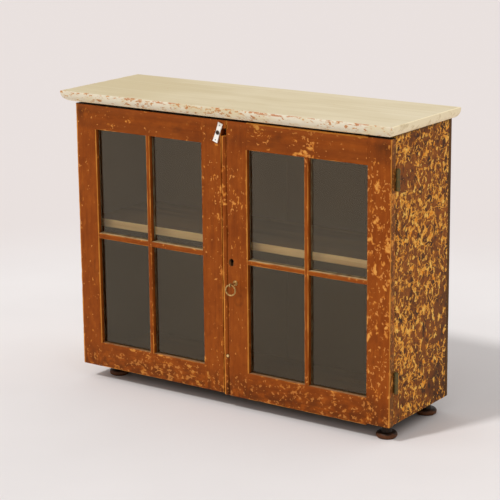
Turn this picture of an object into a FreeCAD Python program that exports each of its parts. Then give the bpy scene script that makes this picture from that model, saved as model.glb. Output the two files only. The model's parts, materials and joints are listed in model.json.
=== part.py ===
"""A low glazed cupboard: a board carcass on turned feet, closed by two four-pane doors.

Millimetres. +Z is up, the front faces -Y, and the origin is on the floor under the middle of the overall box.
"""

import FreeCAD
import Part
import math
import os

V = FreeCAD.Vector
Y_AXIS = V(0, 1, 0)
Z_AXIS = V(0, 0, 1)

# Overall sizes
BODY_W = 964.0
BODY_H = 719.5
BODY_D = 291.0
FOOT_H = 42.0
TOP_T = 28.5
TOP_END_OVERHANG = 24.0
TOP_FRONT_OVERHANG = 35.0
TOP_UNDER_ROUND = 26.0
TOP_ARRIS_ROUND = 2.0

# Carcass boards
SIDE_T = 20.0
HOUSING = 6.0
BOTTOM_T = 20.0
BOTTOM_HOUSING = 8.0
SHELF_T = 22.5
SHELF_TOP = 441.5
SHELF_SETBACK = 19.0
BACK_T = 13.0
BACK_BOARDS = 4
BACK_BOARD_GAP = 1.0
RAIL_T = 20.0
RAIL_H = 30.0

# Doors
DOOR_T = 22.0
HINGE_GAP = 1.0

# What differs between the hand-made doors: outer edges, stile and rail widths, places of the glazing bars
LEFT_DOOR = {"bottom": 40.0, "top": 754.5, "edge": -12.6, "hinge_stile": 65.5, "meeting_stile": 60.5,
             "top_rail": 64.5, "bottom_rail": 66.0, "bar_x": -245.0, "bar_z": 403.5, "cross_bar_face": 12.5}
RIGHT_DOOR = {"bottom": 36.0, "top": 754.5, "edge": 3.5, "hinge_stile": 65.5, "meeting_stile": 62.0,
              "top_rail": 69.0, "bottom_rail": 69.0, "bar_x": 242.0, "bar_z": 397.0, "cross_bar_face": 10.0}

# Arrises and rebates round the glass, and the glass
CHAMFER_W = 1.0
CHAMFER_DEPTH = 2.0
GLASS_DEPTH = 12.0
REBATE_W = 5.0
BAR_FACE_W = 10.5
TONGUE_W = 5.0
GLASS_T = 3.0
GLASS_EDGE_GAP = 1.0
PUTTY_W = 7.0
PUTTY_LIP = 1.0
TENON_T = 7.0
TENON_L = 40.0
TENON_SHOULDER = 14.0
TENON_HAUNCH = 6.0

# Meeting bead on the right door, and the lip of the left door above it
BEAD_W = 15.5
BEAD_TOP = 713.5
BEAD_LEFT_ROUND = 4.0
BEAD_RIGHT_ROUND = 7.0
LIP_W = 15.5
LIP_BOTTOM = 733.0

# Butt hinges
HINGE_H = 52.0
HINGE_HEIGHTS = {"upper": 653.0, "lower": 150.0}
AXIS_OUT = 5.4
KNUCKLE_R = 5.0
KNUCKLE_GAP = 0.3
KNUCKLE_CLEARANCE = 0.4
LEAF_T = 1.4
LEAF_PLAY = 0.1
LEAF_W = 18.0
PIN_R = 2.5
PIN_HEAD_R = 4.0
PIN_HEAD_H = 2.0
PIN_FIT = 0.05

# Screws and nails
SCREW_R = 1.5
SCREW_HEAD_R = 3.0
SCREW_L = 14.0
SCREW_SPREAD = 16.0
SCREW_SLOT_W = 0.8
SCREW_SLOT_DEPTH = 0.6
HOLE_FIT = 0.1
NAIL_R = 1.2
NAIL_HEAD_R = 2.6
NAIL_HEAD_H = 1.0
NAIL_L = 25.0
NAIL_INSET = 35.0
TOP_SCREW_R = 2.0
TOP_SCREW_HEAD_R = 4.0
TOP_SCREW_HEAD_H = 2.0
TOP_SCREW_L = 44.0
TOP_SCREW_X = 330.0

# Turned feet: centres on the floor, and the radii of the turning
FOOT_PLACES = {
    "front_left": V(-418.0, -55.0, 0),
    "front_right": V(450.0, -85.0, 0),
    "rear_left": V(-428.0, 119.0, 0),
    "rear_right": V(444.0, 121.0, 0),
}
FOOT_R = 27.0
FOOT_BASE_R = 22.5
FOOT_DISC_H = 15.0
FOOT_NECK_R = 12.0
FOOT_NECK_FLARE = 2.0
FOOT_NECK_Z = 23.0
FOOT_COLLAR_R = 17.0
FOOT_COLLAR_H = 5.0
SPIGOT_R = 9.0
SPIGOT_L = 15.0

# Turn button at the top of the left door
BUTTON_X = -18.3
BUTTON_Z = 721.6
BUTTON_L = 52.0
BUTTON_END_W = 14.5
BUTTON_WAIST_W = 12.0
BUTTON_T = 2.8
BUTTON_STANDOFF = 1.4
BUTTON_TILT = 20.0
BUTTON_DIMPLE_SPACING = 40.0
BUTTON_DIMPLE_R = 1.6
BUTTON_DIMPLE_DEPTH = 0.8
BUTTON_BOSS_R = 5.0
PIVOT_R = 2.0
PIVOT_HEAD_R = 4.2
PIVOT_HEAD_H = 2.2
PIVOT_HEAD_ROUND = 1.3
PIVOT_L = 15.0
PIVOT_SLOT_W = 1.0
PIVOT_SLOT_DEPTH = 1.0
RUNNING_GAP = 0.1

# Keyhole, lock and keep
LOCK_Z = 391.5
KEYHOLE_X = 17.5
KEYHOLE_R = 5.5
KEYHOLE_RISE = 3.8
KEYHOLE_SLOT_W = 7.0
KEYHOLE_SLOT_L = 13.0
CASE_LEFT = -10.5
CASE_W = 58.0
CASE_H = 76.0
CASE_D = 14.0
CASE_WALL = 2.0
EAR_W = 16.0
EAR_H = 14.0
BOLT_L = 43.0
BOLT_H = 12.0
BOLT_T = 6.0
BOLT_PLAY = 0.2
GUIDE_H = 4.0
KEEP_RIGHT = -14.5
KEEP_W = 16.5
KEEP_H = 24.0
KEEP_PLATE_W = 44.5
KEEP_PLATE_H = 36.0
KEEP_SCREW_X = -45.0
KEEP_SCREW_SPREAD = 10.0
KEEP_PLAY = 0.5

# Ring pull on the right door
EYE_X = 28.0
EYE_Z = 339.0
EYE_ROSE_R = 7.0
EYE_ROSE_T = 2.0
EYE_STEM_R = 2.4
EYE_STEM_L = 18.0
EYE_SHANK_R = 2.0
EYE_SHANK_L = 14.0
EYE_LOOP_R = 4.5
EYE_WIRE_R = 1.6
EYE_YAW = 8.0
RING_R = 13.5
RING_WIRE_R = 2.0

# Planes worked out from the sizes above
OVERALL_D = BODY_D + TOP_FRONT_OVERHANG
BACK_Y = OVERALL_D / 2
DOOR_FRONT = BACK_Y - BODY_D
DOOR_BACK = DOOR_FRONT + DOOR_T
GLASS_FRONT = DOOR_FRONT + GLASS_DEPTH
GLASS_BACK = GLASS_FRONT + GLASS_T
CARCASS_FRONT = DOOR_BACK + HINGE_GAP
CARCASS_BACK = BACK_Y - BACK_T
HALF_W = BODY_W / 2
INNER_HALF = HALF_W - SIDE_T
BODY_TOP = FOOT_H + BODY_H
AXIS_Y = DOOR_BACK + HINGE_GAP / 2
AXIS_X = HALF_W + AXIS_OUT

# How far cutting tools run past a face, and how close counts as lying on a plane
OVERCUT = 1.0
NEAR = 0.01


def box(x0, x1, y0, y1, z0, z1):
    """A box between two corners, whichever way round its x limits are given."""
    return Part.makeBox(abs(x1 - x0), y1 - y0, z1 - z0, V(min(x0, x1), y0, z0))


def rod(radius, start, direction, length):
    return Part.makeCylinder(radius, length, start, direction)


def prism(points, sweep):
    """The closed outline through points, swept along a vector."""
    return Part.Face(Part.makePolygon(points + [points[0]])).extrude(sweep)


def join(shapes):
    """Several touching solids made into one."""
    return shapes[0].fuse(shapes[1:]).removeSplitter()


def group(shapes):
    """Several separate solids kept in one node."""
    return Part.makeCompound(shapes)


def save(name, shape):
    if not shape.isValid():
        raise ValueError(name + " is not a valid shape")
    shape.exportStep("parts/" + name + ".step")


class Door:
    """The outline of one door: its edges, its glazed opening and the centres of its bars."""

    def __init__(self, side, sizes):
        self.name = "right_door" if side > 0 else "left_door"
        self.bottom = sizes["bottom"]
        self.top = sizes["top"]
        self.hinge_edge = side * HALF_W
        self.meeting_edge = sizes["edge"]
        self.hinge_arris = self.hinge_edge - side * sizes["hinge_stile"]
        self.meeting_arris = self.meeting_edge + side * sizes["meeting_stile"]
        self.low_arris = self.bottom + sizes["bottom_rail"]
        self.high_arris = self.top - sizes["top_rail"]
        self.left_arris = min(self.hinge_arris, self.meeting_arris)
        self.right_arris = max(self.hinge_arris, self.meeting_arris)
        self.bar_x = sizes["bar_x"]
        self.bar_z = sizes["bar_z"]
        self.cross_bar_face = sizes["cross_bar_face"]


def edge_section(outer, arris, inward):
    """Section of a stile or rail, as (across, depth): flat face, eased arris, glazing rebate behind."""
    lip = arris + inward * CHAMFER_W
    wall = arris - inward * REBATE_W
    return [
        (outer, DOOR_FRONT),
        (arris, DOOR_FRONT),
        (lip, DOOR_FRONT + CHAMFER_DEPTH),
        (lip, GLASS_FRONT),
        (wall, GLASS_FRONT),
        (wall, DOOR_BACK),
        (outer, DOOR_BACK),
    ]


def bar_section(centre, face_w):
    """Section of a glazing bar, as (across, depth): flat face, eased arrises, tongue between the panes."""
    face = face_w / 2
    lip = face + CHAMFER_W
    tongue = TONGUE_W / 2
    right = [
        (face, DOOR_FRONT),
        (lip, DOOR_FRONT + CHAMFER_DEPTH),
        (lip, GLASS_FRONT),
        (tongue, GLASS_FRONT),
        (tongue, DOOR_BACK),
    ]
    left = [(-across, depth) for across, depth in reversed(right)]
    return [(centre + across, depth) for across, depth in right + left]


def upright(section, z0, z1):
    return prism([V(x, y, z0) for x, y in section], V(0, 0, z1 - z0))


def level(section, x0, x1):
    return prism([V(x0, y, z) for z, y in section], V(x1 - x0, 0, 0))


def tenon(door, arris, z0, z1):
    """The tongue on a rail's end that runs into the stile whose arris is given."""
    outward = 1 if arris > door.bar_x else -1
    root = arris + outward * REBATE_W
    return box(root, root + outward * TENON_L, GLASS_FRONT, GLASS_FRONT + TENON_T, z0, z1)


def door_frame(door):
    """Stiles and rails of a door: the rails are coped over the stiles and tenoned into them."""
    stiles = {}
    for name, edge, arris in (
        ("hinge_stile", door.hinge_edge, door.hinge_arris),
        ("meeting_stile", door.meeting_edge, door.meeting_arris),
    ):
        inward = 1 if arris < door.bar_x else -1
        stiles[name] = upright(edge_section(edge, arris, inward), door.bottom, door.top)
    rails = {}
    tenons = []
    for name, edge, arris, inward in (
        ("top_rail", door.top, door.high_arris, -1),
        ("bottom_rail", door.bottom, door.low_arris, 1),
    ):
        section = edge_section(edge, arris, inward)
        body = level(section, door.left_arris - REBATE_W, door.right_arris + REBATE_W)
        low, high = sorted((edge + inward * TENON_SHOULDER, arris - inward * TENON_HAUNCH))
        ends = [tenon(door, side, low, high) for side in (door.left_arris, door.right_arris)]
        rails[name] = join([body.cut(list(stiles.values()))] + ends)
        tenons += ends
    return {name: stile.cut(tenons) for name, stile in stiles.items()}, rails


def door_bars(door, stiles, rails):
    """The two glazing bars, scribed to the frame and halved through each other's tongues."""
    vertical = upright(bar_section(door.bar_x, BAR_FACE_W), door.low_arris - REBATE_W,
                       door.high_arris + REBATE_W)
    level_bar = level(bar_section(door.bar_z, door.cross_bar_face), door.left_arris - REBATE_W,
                      door.right_arris + REBATE_W)
    half = TONGUE_W / 2
    crossing = box(door.bar_x - half, door.bar_x + half, GLASS_FRONT, DOOR_BACK,
                   door.bar_z - half, door.bar_z + half)
    vertical = vertical.cut(list(rails.values()) + [crossing])
    level_bar = level_bar.cut(list(stiles.values()) + [vertical])
    return {"vertical_bar": vertical, "horizontal_bar": level_bar}


def pane_limits(door):
    """The clear rectangle between rebate walls and tongues for each pane, by its place in the door."""
    half = TONGUE_W / 2
    columns = {
        "left": (door.left_arris - REBATE_W, door.bar_x - half),
        "right": (door.bar_x + half, door.right_arris + REBATE_W),
    }
    rows = {
        "upper": (door.bar_z + half, door.high_arris + REBATE_W),
        "lower": (door.low_arris - REBATE_W, door.bar_z - half),
    }
    return {row + "_" + column: columns[column] + rows[row] for row in rows for column in columns}


def pane(x0, x1, z0, z1):
    gap = GLASS_EDGE_GAP
    return box(x0 + gap, x1 - gap, GLASS_FRONT, GLASS_BACK, z0 + gap, z1 - gap)


def rectangle(x0, x1, z0, z1, inset, y):
    corners = [
        V(x0 + inset, y, z0 + inset),
        V(x1 - inset, y, z0 + inset),
        V(x1 - inset, y, z1 - inset),
        V(x0 + inset, y, z1 - inset),
    ]
    return Part.makePolygon(corners + [corners[0]])


def putty(x0, x1, z0, z1):
    """A fillet of putty round the back of a pane, sloping from the rebate wall down to the glass."""
    back = DOOR_BACK - PUTTY_LIP
    ring = box(x0, x1, GLASS_BACK, back, z0, z1)
    window = Part.makeLoft(
        [
            rectangle(x0, x1, z0, z1, PUTTY_W, GLASS_BACK),
            rectangle(x0, x1, z0, z1, PUTTY_LIP, back),
        ],
        True,
        True,
    )
    return ring.cut(window)


def screw(head, direction):
    """A slotted countersunk screw, its head flush with the point given."""
    cone = Part.makeCone(SCREW_HEAD_R, SCREW_R, LEAF_T, head, direction)
    shank = rod(SCREW_R, head + direction * LEAF_T, direction, SCREW_L)
    slot = box(head.x - SCREW_HEAD_R, head.x + SCREW_HEAD_R, head.y - SCREW_SLOT_DEPTH,
               head.y + SCREW_SLOT_DEPTH, head.z - SCREW_SLOT_W / 2, head.z + SCREW_SLOT_W / 2)
    return join([cone, shank]).cut(slot)


def screw_hole(head, direction):
    """Room for a screw: countersink, and the hole that its shank fills."""
    cone = Part.makeCone(SCREW_HEAD_R + HOLE_FIT, SCREW_R + HOLE_FIT, LEAF_T, head, direction)
    shank = rod(SCREW_R + HOLE_FIT, head + direction * LEAF_T, direction, SCREW_L + HOLE_FIT)
    return join([cone, shank])


def hinge_screw_heads(side, centre, y):
    x = side * (HALF_W - LEAF_W / 2)
    return [V(x, y, centre + step) for step in (-SCREW_SPREAD, SCREW_SPREAD)]


def hinge_leaf(side, centre, y0, y1, knuckles, rooms, holes):
    """A hinge leaf with its knuckles round the pin, cut clear of the other leaf's knuckles."""
    plate = box(side * (HALF_W - LEAF_W), side * AXIS_X, y0, y1, centre - HINGE_H / 2, centre + HINGE_H / 2)

    def barrel(radius, span):
        return rod(radius, V(side * AXIS_X, AXIS_Y, centre + span[0]), Z_AXIS, span[1] - span[0])

    plate = plate.cut([barrel(KNUCKLE_R + KNUCKLE_CLEARANCE, span) for span in rooms])
    bore = barrel(PIN_R + PIN_FIT, (-HINGE_H / 2 - OVERCUT, HINGE_H / 2 + OVERCUT))
    return join([plate] + [barrel(KNUCKLE_R, span) for span in knuckles]).cut([bore] + holes)


def leaf_housing(side, centre, y0, y1):
    """The shallow room cut in the wood for a hinge leaf."""
    half = HINGE_H / 2 + HOLE_FIT
    inner = HALF_W - LEAF_W - HOLE_FIT
    return box(side * inner, side * (HALF_W + OVERCUT), y0, y1, centre - half, centre + half)


def hinge(side, centre):
    """Frame leaf, door leaf and pin of one butt hinge, with the screws of each leaf and their holes."""
    end = HINGE_H / 2
    middle = HINGE_H / 6
    inner = (-middle, middle)
    outer = ((-end, -middle - KNUCKLE_GAP), (middle + KNUCKLE_GAP, end))
    inner_room = (-middle - KNUCKLE_GAP, middle + KNUCKLE_GAP)
    outer_rooms = ((-end - OVERCUT, -middle), (middle, end + OVERCUT))
    frame_face = AXIS_Y + LEAF_PLAY
    door_face = AXIS_Y - LEAF_PLAY
    frame_heads = hinge_screw_heads(side, centre, frame_face)
    door_heads = hinge_screw_heads(side, centre, door_face)
    frame_holes = [screw_hole(head, Y_AXIS) for head in frame_heads]
    door_holes = [screw_hole(head, -Y_AXIS) for head in door_heads]
    pin_foot = V(side * AXIS_X, AXIS_Y, centre - end)
    pin_head = V(side * AXIS_X, AXIS_Y, centre + end)
    return {
        "frame_leaf": hinge_leaf(side, centre, frame_face, frame_face + LEAF_T, outer, [inner_room],
                                 frame_holes),
        "door_leaf": hinge_leaf(side, centre, door_face - LEAF_T, door_face, [inner], outer_rooms,
                                door_holes),
        "pin": join([rod(PIN_R, pin_foot, Z_AXIS, HINGE_H), rod(PIN_HEAD_R, pin_head, Z_AXIS, PIN_HEAD_H)]),
        "frame_screws": [screw(head, Y_AXIS) for head in frame_heads],
        "door_screws": [screw(head, -Y_AXIS) for head in door_heads],
        "frame_holes": frame_holes + [leaf_housing(side, centre, frame_face, frame_face + LEAF_T)],
        "door_holes": door_holes + [leaf_housing(side, centre, door_face - LEAF_T, door_face)],
    }


def top_board():
    """The overhanging top: rounded underneath along the front and ends, with softened upper arrises."""
    end = HALF_W + TOP_END_OVERHANG
    front = DOOR_FRONT - TOP_FRONT_OVERHANG
    board = box(-end, end, front, BACK_Y, BODY_TOP, BODY_TOP + TOP_T)

    def moulded_edges(z):
        found = []
        for edge in board.Edges:
            middle = edge.CenterOfMass
            if abs(middle.z - z) < NEAR and middle.y < BACK_Y - NEAR:
                found.append(edge)
        return found

    under = moulded_edges(BODY_TOP)
    board = board.makeFillet(TOP_UNDER_ROUND, under)
    return board.makeFillet(TOP_ARRIS_ROUND, moulded_edges(BODY_TOP + TOP_T))


def foot(place):
    """A turned foot: a flattened bun, a waisted neck, a collar and a spigot for the bottom board."""
    middle = FOOT_DISC_H / 2
    collar_z = FOOT_H - FOOT_COLLAR_H
    bun = Part.Arc(V(FOOT_BASE_R, 0, 0), V(FOOT_R, 0, middle), V(FOOT_BASE_R, 0, FOOT_DISC_H)).toShape()
    shoulder = V(FOOT_NECK_R + FOOT_NECK_FLARE, 0, FOOT_DISC_H)
    neck = Part.Arc(shoulder, V(FOOT_NECK_R, 0, FOOT_NECK_Z), V(FOOT_COLLAR_R, 0, collar_z)).toShape()
    spigot_z = FOOT_H + SPIGOT_L
    outline = [V(FOOT_COLLAR_R, 0, collar_z), V(FOOT_COLLAR_R, 0, FOOT_H), V(SPIGOT_R, 0, FOOT_H),
               V(SPIGOT_R, 0, spigot_z), V(0, 0, spigot_z), V(0, 0, 0), V(FOOT_BASE_R, 0, 0)]
    edges = [bun, Part.LineSegment(V(FOOT_BASE_R, 0, FOOT_DISC_H), shoulder).toShape(), neck]
    edges += [Part.LineSegment(a, b).toShape() for a, b in zip(outline, outline[1:])]
    turning = Part.Face(Part.Wire(edges)).revolve(V(0, 0, 0), Z_AXIS, 360)
    return turning.translated(place)


def spigot_hole(place):
    return rod(SPIGOT_R + HOLE_FIT, place + V(0, 0, FOOT_H), Z_AXIS, SPIGOT_L + HOLE_FIT)


def back_nail_heads():
    """Head points of the back board nails: two nails to a board at each of three heights."""
    heights = (BODY_TOP - RAIL_H / 2, SHELF_TOP - SHELF_T / 2, FOOT_H + BOTTOM_T / 2)
    width = BODY_W / BACK_BOARDS
    columns = []
    for number in range(BACK_BOARDS):
        left = -HALF_W + number * width
        columns += [left + NAIL_INSET, left + width - NAIL_INSET]
    return [V(x, BACK_Y, z) for x in columns for z in heights]


def nail(head, grow):
    """A nail driven forward from its head point, grown all round by a fit for its hole."""
    cap = rod(NAIL_HEAD_R + grow, head, -Y_AXIS, NAIL_HEAD_H)
    return join([cap, rod(NAIL_R + grow, head, -Y_AXIS, NAIL_L + grow)])


def top_screw(foot_point, grow):
    """A screw driven up through a top rail into the top board."""
    head = rod(TOP_SCREW_HEAD_R + grow, foot_point, Z_AXIS, TOP_SCREW_HEAD_H)
    return join([head, rod(TOP_SCREW_R + grow, foot_point, Z_AXIS, TOP_SCREW_L + grow)])


def top_screw_points():
    depths = (CARCASS_FRONT + RAIL_T / 2, CARCASS_BACK - RAIL_T / 2)
    return [V(x, y, BODY_TOP - RAIL_H) for x in (-TOP_SCREW_X, TOP_SCREW_X) for y in depths]


def carcass(frame_holes):
    """The fixed boards, keyed by node name, with the holes for their fasteners and feet."""
    housed = INNER_HALF + HOUSING
    bottom = box(-INNER_HALF - BOTTOM_HOUSING, INNER_HALF + BOTTOM_HOUSING, CARCASS_FRONT, CARCASS_BACK,
                 FOOT_H, FOOT_H + BOTTOM_T)
    shelf = box(-housed, housed, CARCASS_FRONT + SHELF_SETBACK, CARCASS_BACK, SHELF_TOP - SHELF_T, SHELF_TOP)
    front_rail = box(-housed, housed, CARCASS_FRONT, CARCASS_FRONT + RAIL_T, BODY_TOP - RAIL_H, BODY_TOP)
    rear_rail = box(-housed, housed, CARCASS_BACK - RAIL_T, CARCASS_BACK, BODY_TOP - RAIL_H, BODY_TOP)
    nail_holes = [nail(head, HOLE_FIT) for head in back_nail_heads()]
    screw_holes = [top_screw(point, HOLE_FIT) for point in top_screw_points()]
    boards = {"top_board": top_board().cut(screw_holes)}
    for name, side in (("left_side", -1), ("right_side", 1)):
        board = box(side * INNER_HALF, side * HALF_W, CARCASS_FRONT, CARCASS_BACK, FOOT_H, BODY_TOP)
        boards[name] = board.cut([bottom, shelf, front_rail, rear_rail] + frame_holes[side])
    boards["bottom_board"] = bottom.cut(nail_holes + [spigot_hole(place) for place in FOOT_PLACES.values()])
    boards["shelf"] = shelf.cut(nail_holes)
    boards["front_top_rail"] = front_rail.cut(screw_holes)
    boards["rear_top_rail"] = rear_rail.cut(screw_holes + nail_holes)
    width = BODY_W / BACK_BOARDS
    for number in range(BACK_BOARDS):
        left = -HALF_W + number * width
        right = left + width - (BACK_BOARD_GAP if number < BACK_BOARDS - 1 else 0)
        board = box(left, right, CARCASS_BACK, BACK_Y, FOOT_H, BODY_TOP)
        boards["back_board_" + str(number + 1)] = board.cut(nail_holes)
    return boards


def meeting_bead(door):
    """The rounded strip on the right door's meeting edge, cut short below the turn button."""
    left = door.meeting_edge - BEAD_W
    strip = box(left, door.meeting_edge, DOOR_FRONT, DOOR_BACK, door.bottom, BEAD_TOP)
    for x, radius in ((left, BEAD_LEFT_ROUND), (door.meeting_edge, BEAD_RIGHT_ROUND)):
        corner = [edge for edge in strip.Edges
                  if edge.CenterOfMass.distanceToPoint(V(x, DOOR_FRONT, (door.bottom + BEAD_TOP) / 2)) < NEAR]
        strip = strip.makeFillet(radius, corner)
    return strip


def button_turned(shape):
    """A shape drawn upright at the button's pivot, leant to the button's tilt."""
    return shape.rotated(V(BUTTON_X, DOOR_FRONT, BUTTON_Z), Y_AXIS, BUTTON_TILT)


def button_outline():
    """The waisted outline of the turn button, upright on its pivot, in the plane of its back."""
    half_l = BUTTON_L / 2
    half_end = BUTTON_END_W / 2
    half_waist = BUTTON_WAIST_W / 2
    y = DOOR_FRONT - BUTTON_STANDOFF

    def at(x, z):
        return V(BUTTON_X + x, y, BUTTON_Z + z)

    right = Part.Arc(at(half_end, -half_l), at(half_waist, 0), at(half_end, half_l)).toShape()
    left = Part.Arc(at(-half_end, half_l), at(-half_waist, 0), at(-half_end, -half_l)).toShape()
    top = Part.LineSegment(at(half_end, half_l), at(-half_end, half_l)).toShape()
    bottom = Part.LineSegment(at(-half_end, -half_l), at(half_end, -half_l)).toShape()
    return Part.Face(Part.Wire([right, top, left, bottom]))


def turn_button():
    """A flat waisted plate on a small boss, with a dimple near each end."""
    front = DOOR_FRONT - BUTTON_STANDOFF - BUTTON_T
    plate = button_outline().extrude(V(0, -BUTTON_T, 0))
    boss = rod(BUTTON_BOSS_R, V(BUTTON_X, DOOR_FRONT - RUNNING_GAP, BUTTON_Z), -Y_AXIS,
               BUTTON_STANDOFF - RUNNING_GAP)
    bore = rod(PIVOT_R + RUNNING_GAP, V(BUTTON_X, DOOR_FRONT, BUTTON_Z), -Y_AXIS, BUTTON_STANDOFF + BUTTON_T)
    dimples = [rod(BUTTON_DIMPLE_R, V(BUTTON_X, front, BUTTON_Z + step * BUTTON_DIMPLE_SPACING / 2), Y_AXIS,
                   BUTTON_DIMPLE_DEPTH) for step in (-1, 1)]
    return button_turned(join([plate, boss]).cut([bore] + dimples))


def pivot_shank(grow):
    """The plain shank that the button turns on, grown by a fit for its hole in the stile."""
    tip = V(BUTTON_X, DOOR_FRONT + PIVOT_L + grow, BUTTON_Z)
    length = PIVOT_L + grow + BUTTON_STANDOFF + BUTTON_T + RUNNING_GAP
    return rod(PIVOT_R + grow, tip, -Y_AXIS, length)


def pivot_screw():
    """The round-headed slotted screw that holds the button to the door."""
    under_head = DOOR_FRONT - BUTTON_STANDOFF - BUTTON_T - RUNNING_GAP
    crown = under_head - PIVOT_HEAD_H
    head = rod(PIVOT_HEAD_R, V(BUTTON_X, under_head, BUTTON_Z), -Y_AXIS, PIVOT_HEAD_H)
    rim = [edge for edge in head.Edges if abs(edge.CenterOfMass.y - crown) < NEAR]
    head = head.makeFillet(PIVOT_HEAD_ROUND, rim)
    slot = box(BUTTON_X - PIVOT_HEAD_R, BUTTON_X + PIVOT_HEAD_R, crown, crown + PIVOT_SLOT_DEPTH,
               BUTTON_Z - PIVOT_SLOT_W / 2, BUTTON_Z + PIVOT_SLOT_W / 2)
    return join([pivot_shank(0), head]).cut(button_turned(slot))


def keyhole():
    """The key's way through the meeting stile: a round hole over a slot."""
    eye = V(KEYHOLE_X, DOOR_FRONT - OVERCUT, LOCK_Z + KEYHOLE_RISE)
    half = KEYHOLE_SLOT_W / 2
    slot = box(KEYHOLE_X - half, KEYHOLE_X + half, DOOR_FRONT - OVERCUT, DOOR_BACK + OVERCUT,
               eye.z - KEYHOLE_SLOT_L, eye.z)
    return join([rod(KEYHOLE_R, eye, Y_AXIS, DOOR_T + 2 * OVERCUT), slot])


def bolt_block(left, right, grow):
    """A block round the bolt's path between two x limits, grown by the bolt's play."""
    back = DOOR_BACK + CASE_D - CASE_WALL - BOLT_PLAY
    half = BOLT_H / 2 + grow
    return box(left, right, back - BOLT_T - grow, back + grow, LOCK_Z - half, LOCK_Z + half)


def lock_screw_heads():
    x = CASE_LEFT + CASE_W / 2
    rise = CASE_H / 2 + EAR_H / 2
    return [V(x, DOOR_BACK + LEAF_T, LOCK_Z + step * rise) for step in (-1, 1)]


def lock_case():
    """A box lock on the back of the right door: open towards the stile, with guides for its bolt."""
    right = CASE_LEFT + CASE_W
    back = DOOR_BACK + CASE_D
    half = CASE_H / 2
    shell = box(CASE_LEFT, right, DOOR_BACK, back, LOCK_Z - half, LOCK_Z + half)
    hollow = box(CASE_LEFT + CASE_WALL, right - CASE_WALL, DOOR_BACK, back - CASE_WALL,
                 LOCK_Z - half + CASE_WALL, LOCK_Z + half - CASE_WALL)
    reach = BOLT_H / 2 + BOLT_PLAY
    guides = []
    for low in (LOCK_Z - reach - GUIDE_H, LOCK_Z + reach):
        guides.append(box(CASE_LEFT + CASE_WALL, right - CASE_WALL, back - CASE_WALL - BOLT_T,
                          back - CASE_WALL, low, low + GUIDE_H))
    ears = []
    for head in lock_screw_heads():
        ears.append(box(head.x - EAR_W / 2, head.x + EAR_W / 2, DOOR_BACK, DOOR_BACK + LEAF_T,
                        head.z - EAR_H / 2, head.z + EAR_H / 2))
    mouth = bolt_block(CASE_LEFT, CASE_LEFT + CASE_WALL, BOLT_PLAY)
    holes = [screw_hole(head, -Y_AXIS) for head in lock_screw_heads()]
    return join([shell.cut(hollow)] + guides + ears).cut([mouth] + holes)


def keep_screw_heads():
    return [V(KEEP_SCREW_X, DOOR_BACK + LEAF_T, LOCK_Z + step * KEEP_SCREW_SPREAD) for step in (-1, 1)]


def lock_keep():
    """A staple on the back of the left door whose mouth takes the bolt."""
    left = KEEP_RIGHT - KEEP_W
    plate = box(KEEP_RIGHT - KEEP_PLATE_W, KEEP_RIGHT, DOOR_BACK, DOOR_BACK + LEAF_T,
                LOCK_Z - KEEP_PLATE_H / 2, LOCK_Z + KEEP_PLATE_H / 2)
    staple = box(left, KEEP_RIGHT, DOOR_BACK, DOOR_BACK + CASE_D, LOCK_Z - KEEP_H / 2, LOCK_Z + KEEP_H / 2)
    mouth = bolt_block(left + CASE_WALL, KEEP_RIGHT, KEEP_PLAY)
    return join([plate, staple]).cut([mouth] + [screw_hole(head, -Y_AXIS) for head in keep_screw_heads()])


def eye_directions():
    """The way through the eye's loop, and the way square to it out from the door."""
    turn = math.radians(EYE_YAW)
    return V(math.cos(turn), math.sin(turn), 0), V(math.sin(turn), -math.cos(turn), 0)


def loop_centre():
    outward = eye_directions()[1]
    return V(EYE_X, DOOR_FRONT - EYE_STEM_L, EYE_Z) + outward * EYE_LOOP_R


def eye_shank(grow):
    """The shank of the screw eye, grown by a fit for its hole in the stile."""
    return rod(EYE_SHANK_R + grow, V(EYE_X, DOOR_FRONT, EYE_Z), Y_AXIS, EYE_SHANK_L + grow)


def pull_eye():
    """The screw eye of the ring pull: shank, rose, stem and loop."""
    base = V(EYE_X, DOOR_FRONT, EYE_Z)
    through = eye_directions()[0]
    rose = rod(EYE_ROSE_R, base, -Y_AXIS, EYE_ROSE_T)
    rim = [edge for edge in rose.Edges if abs(edge.CenterOfMass.y - base.y + EYE_ROSE_T) < NEAR]
    rose = rose.makeFillet(EYE_ROSE_T / 2, rim)
    stem = rod(EYE_STEM_R, base, -Y_AXIS, EYE_STEM_L)
    loop = Part.makeTorus(EYE_LOOP_R, EYE_WIRE_R, loop_centre(), through)
    bore = rod(EYE_LOOP_R - EYE_WIRE_R, loop_centre() - through * EYE_LOOP_R, through, 2 * EYE_LOOP_R)
    return join([eye_shank(0), rose, stem.cut(bore), loop])


def pull_ring():
    """The ring, hanging with its wire through the middle of the eye's loop."""
    return Part.makeTorus(RING_R, RING_WIRE_R, loop_centre() - Z_AXIS * RING_R, eye_directions()[1])


def save_door(door, hinges, extra_heads, stile_cuts, stile_adds):
    """Writes the frame, bars, glass, putty, hinge leaves and screws of one door."""
    stiles, rails = door_frame(door)
    bars = door_bars(door, stiles, rails)
    hinge_holes = [hole for fitting in hinges.values() for hole in fitting["door_holes"]]
    stiles["hinge_stile"] = stiles["hinge_stile"].cut(hinge_holes)
    meeting = join([stiles["meeting_stile"]] + stile_adds)
    stiles["meeting_stile"] = meeting.cut(stile_cuts + [screw_hole(head, -Y_AXIS) for head in extra_heads])
    for name, shape in {**stiles, **rails, **bars}.items():
        save(door.name + "_" + name, shape)
    limits = pane_limits(door)
    for place, edges in limits.items():
        save(door.name + "_" + place + "_pane", pane(*edges))
    save(door.name + "_putty", group([putty(*edges) for edges in limits.values()]))
    screws = [screw(head, -Y_AXIS) for head in extra_heads]
    for height, fitting in hinges.items():
        save(door.name + "_" + height + "_leaf", fitting["door_leaf"])
        screws += fitting["door_screws"]
    save(door.name + "_screws", group(screws))


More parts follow.
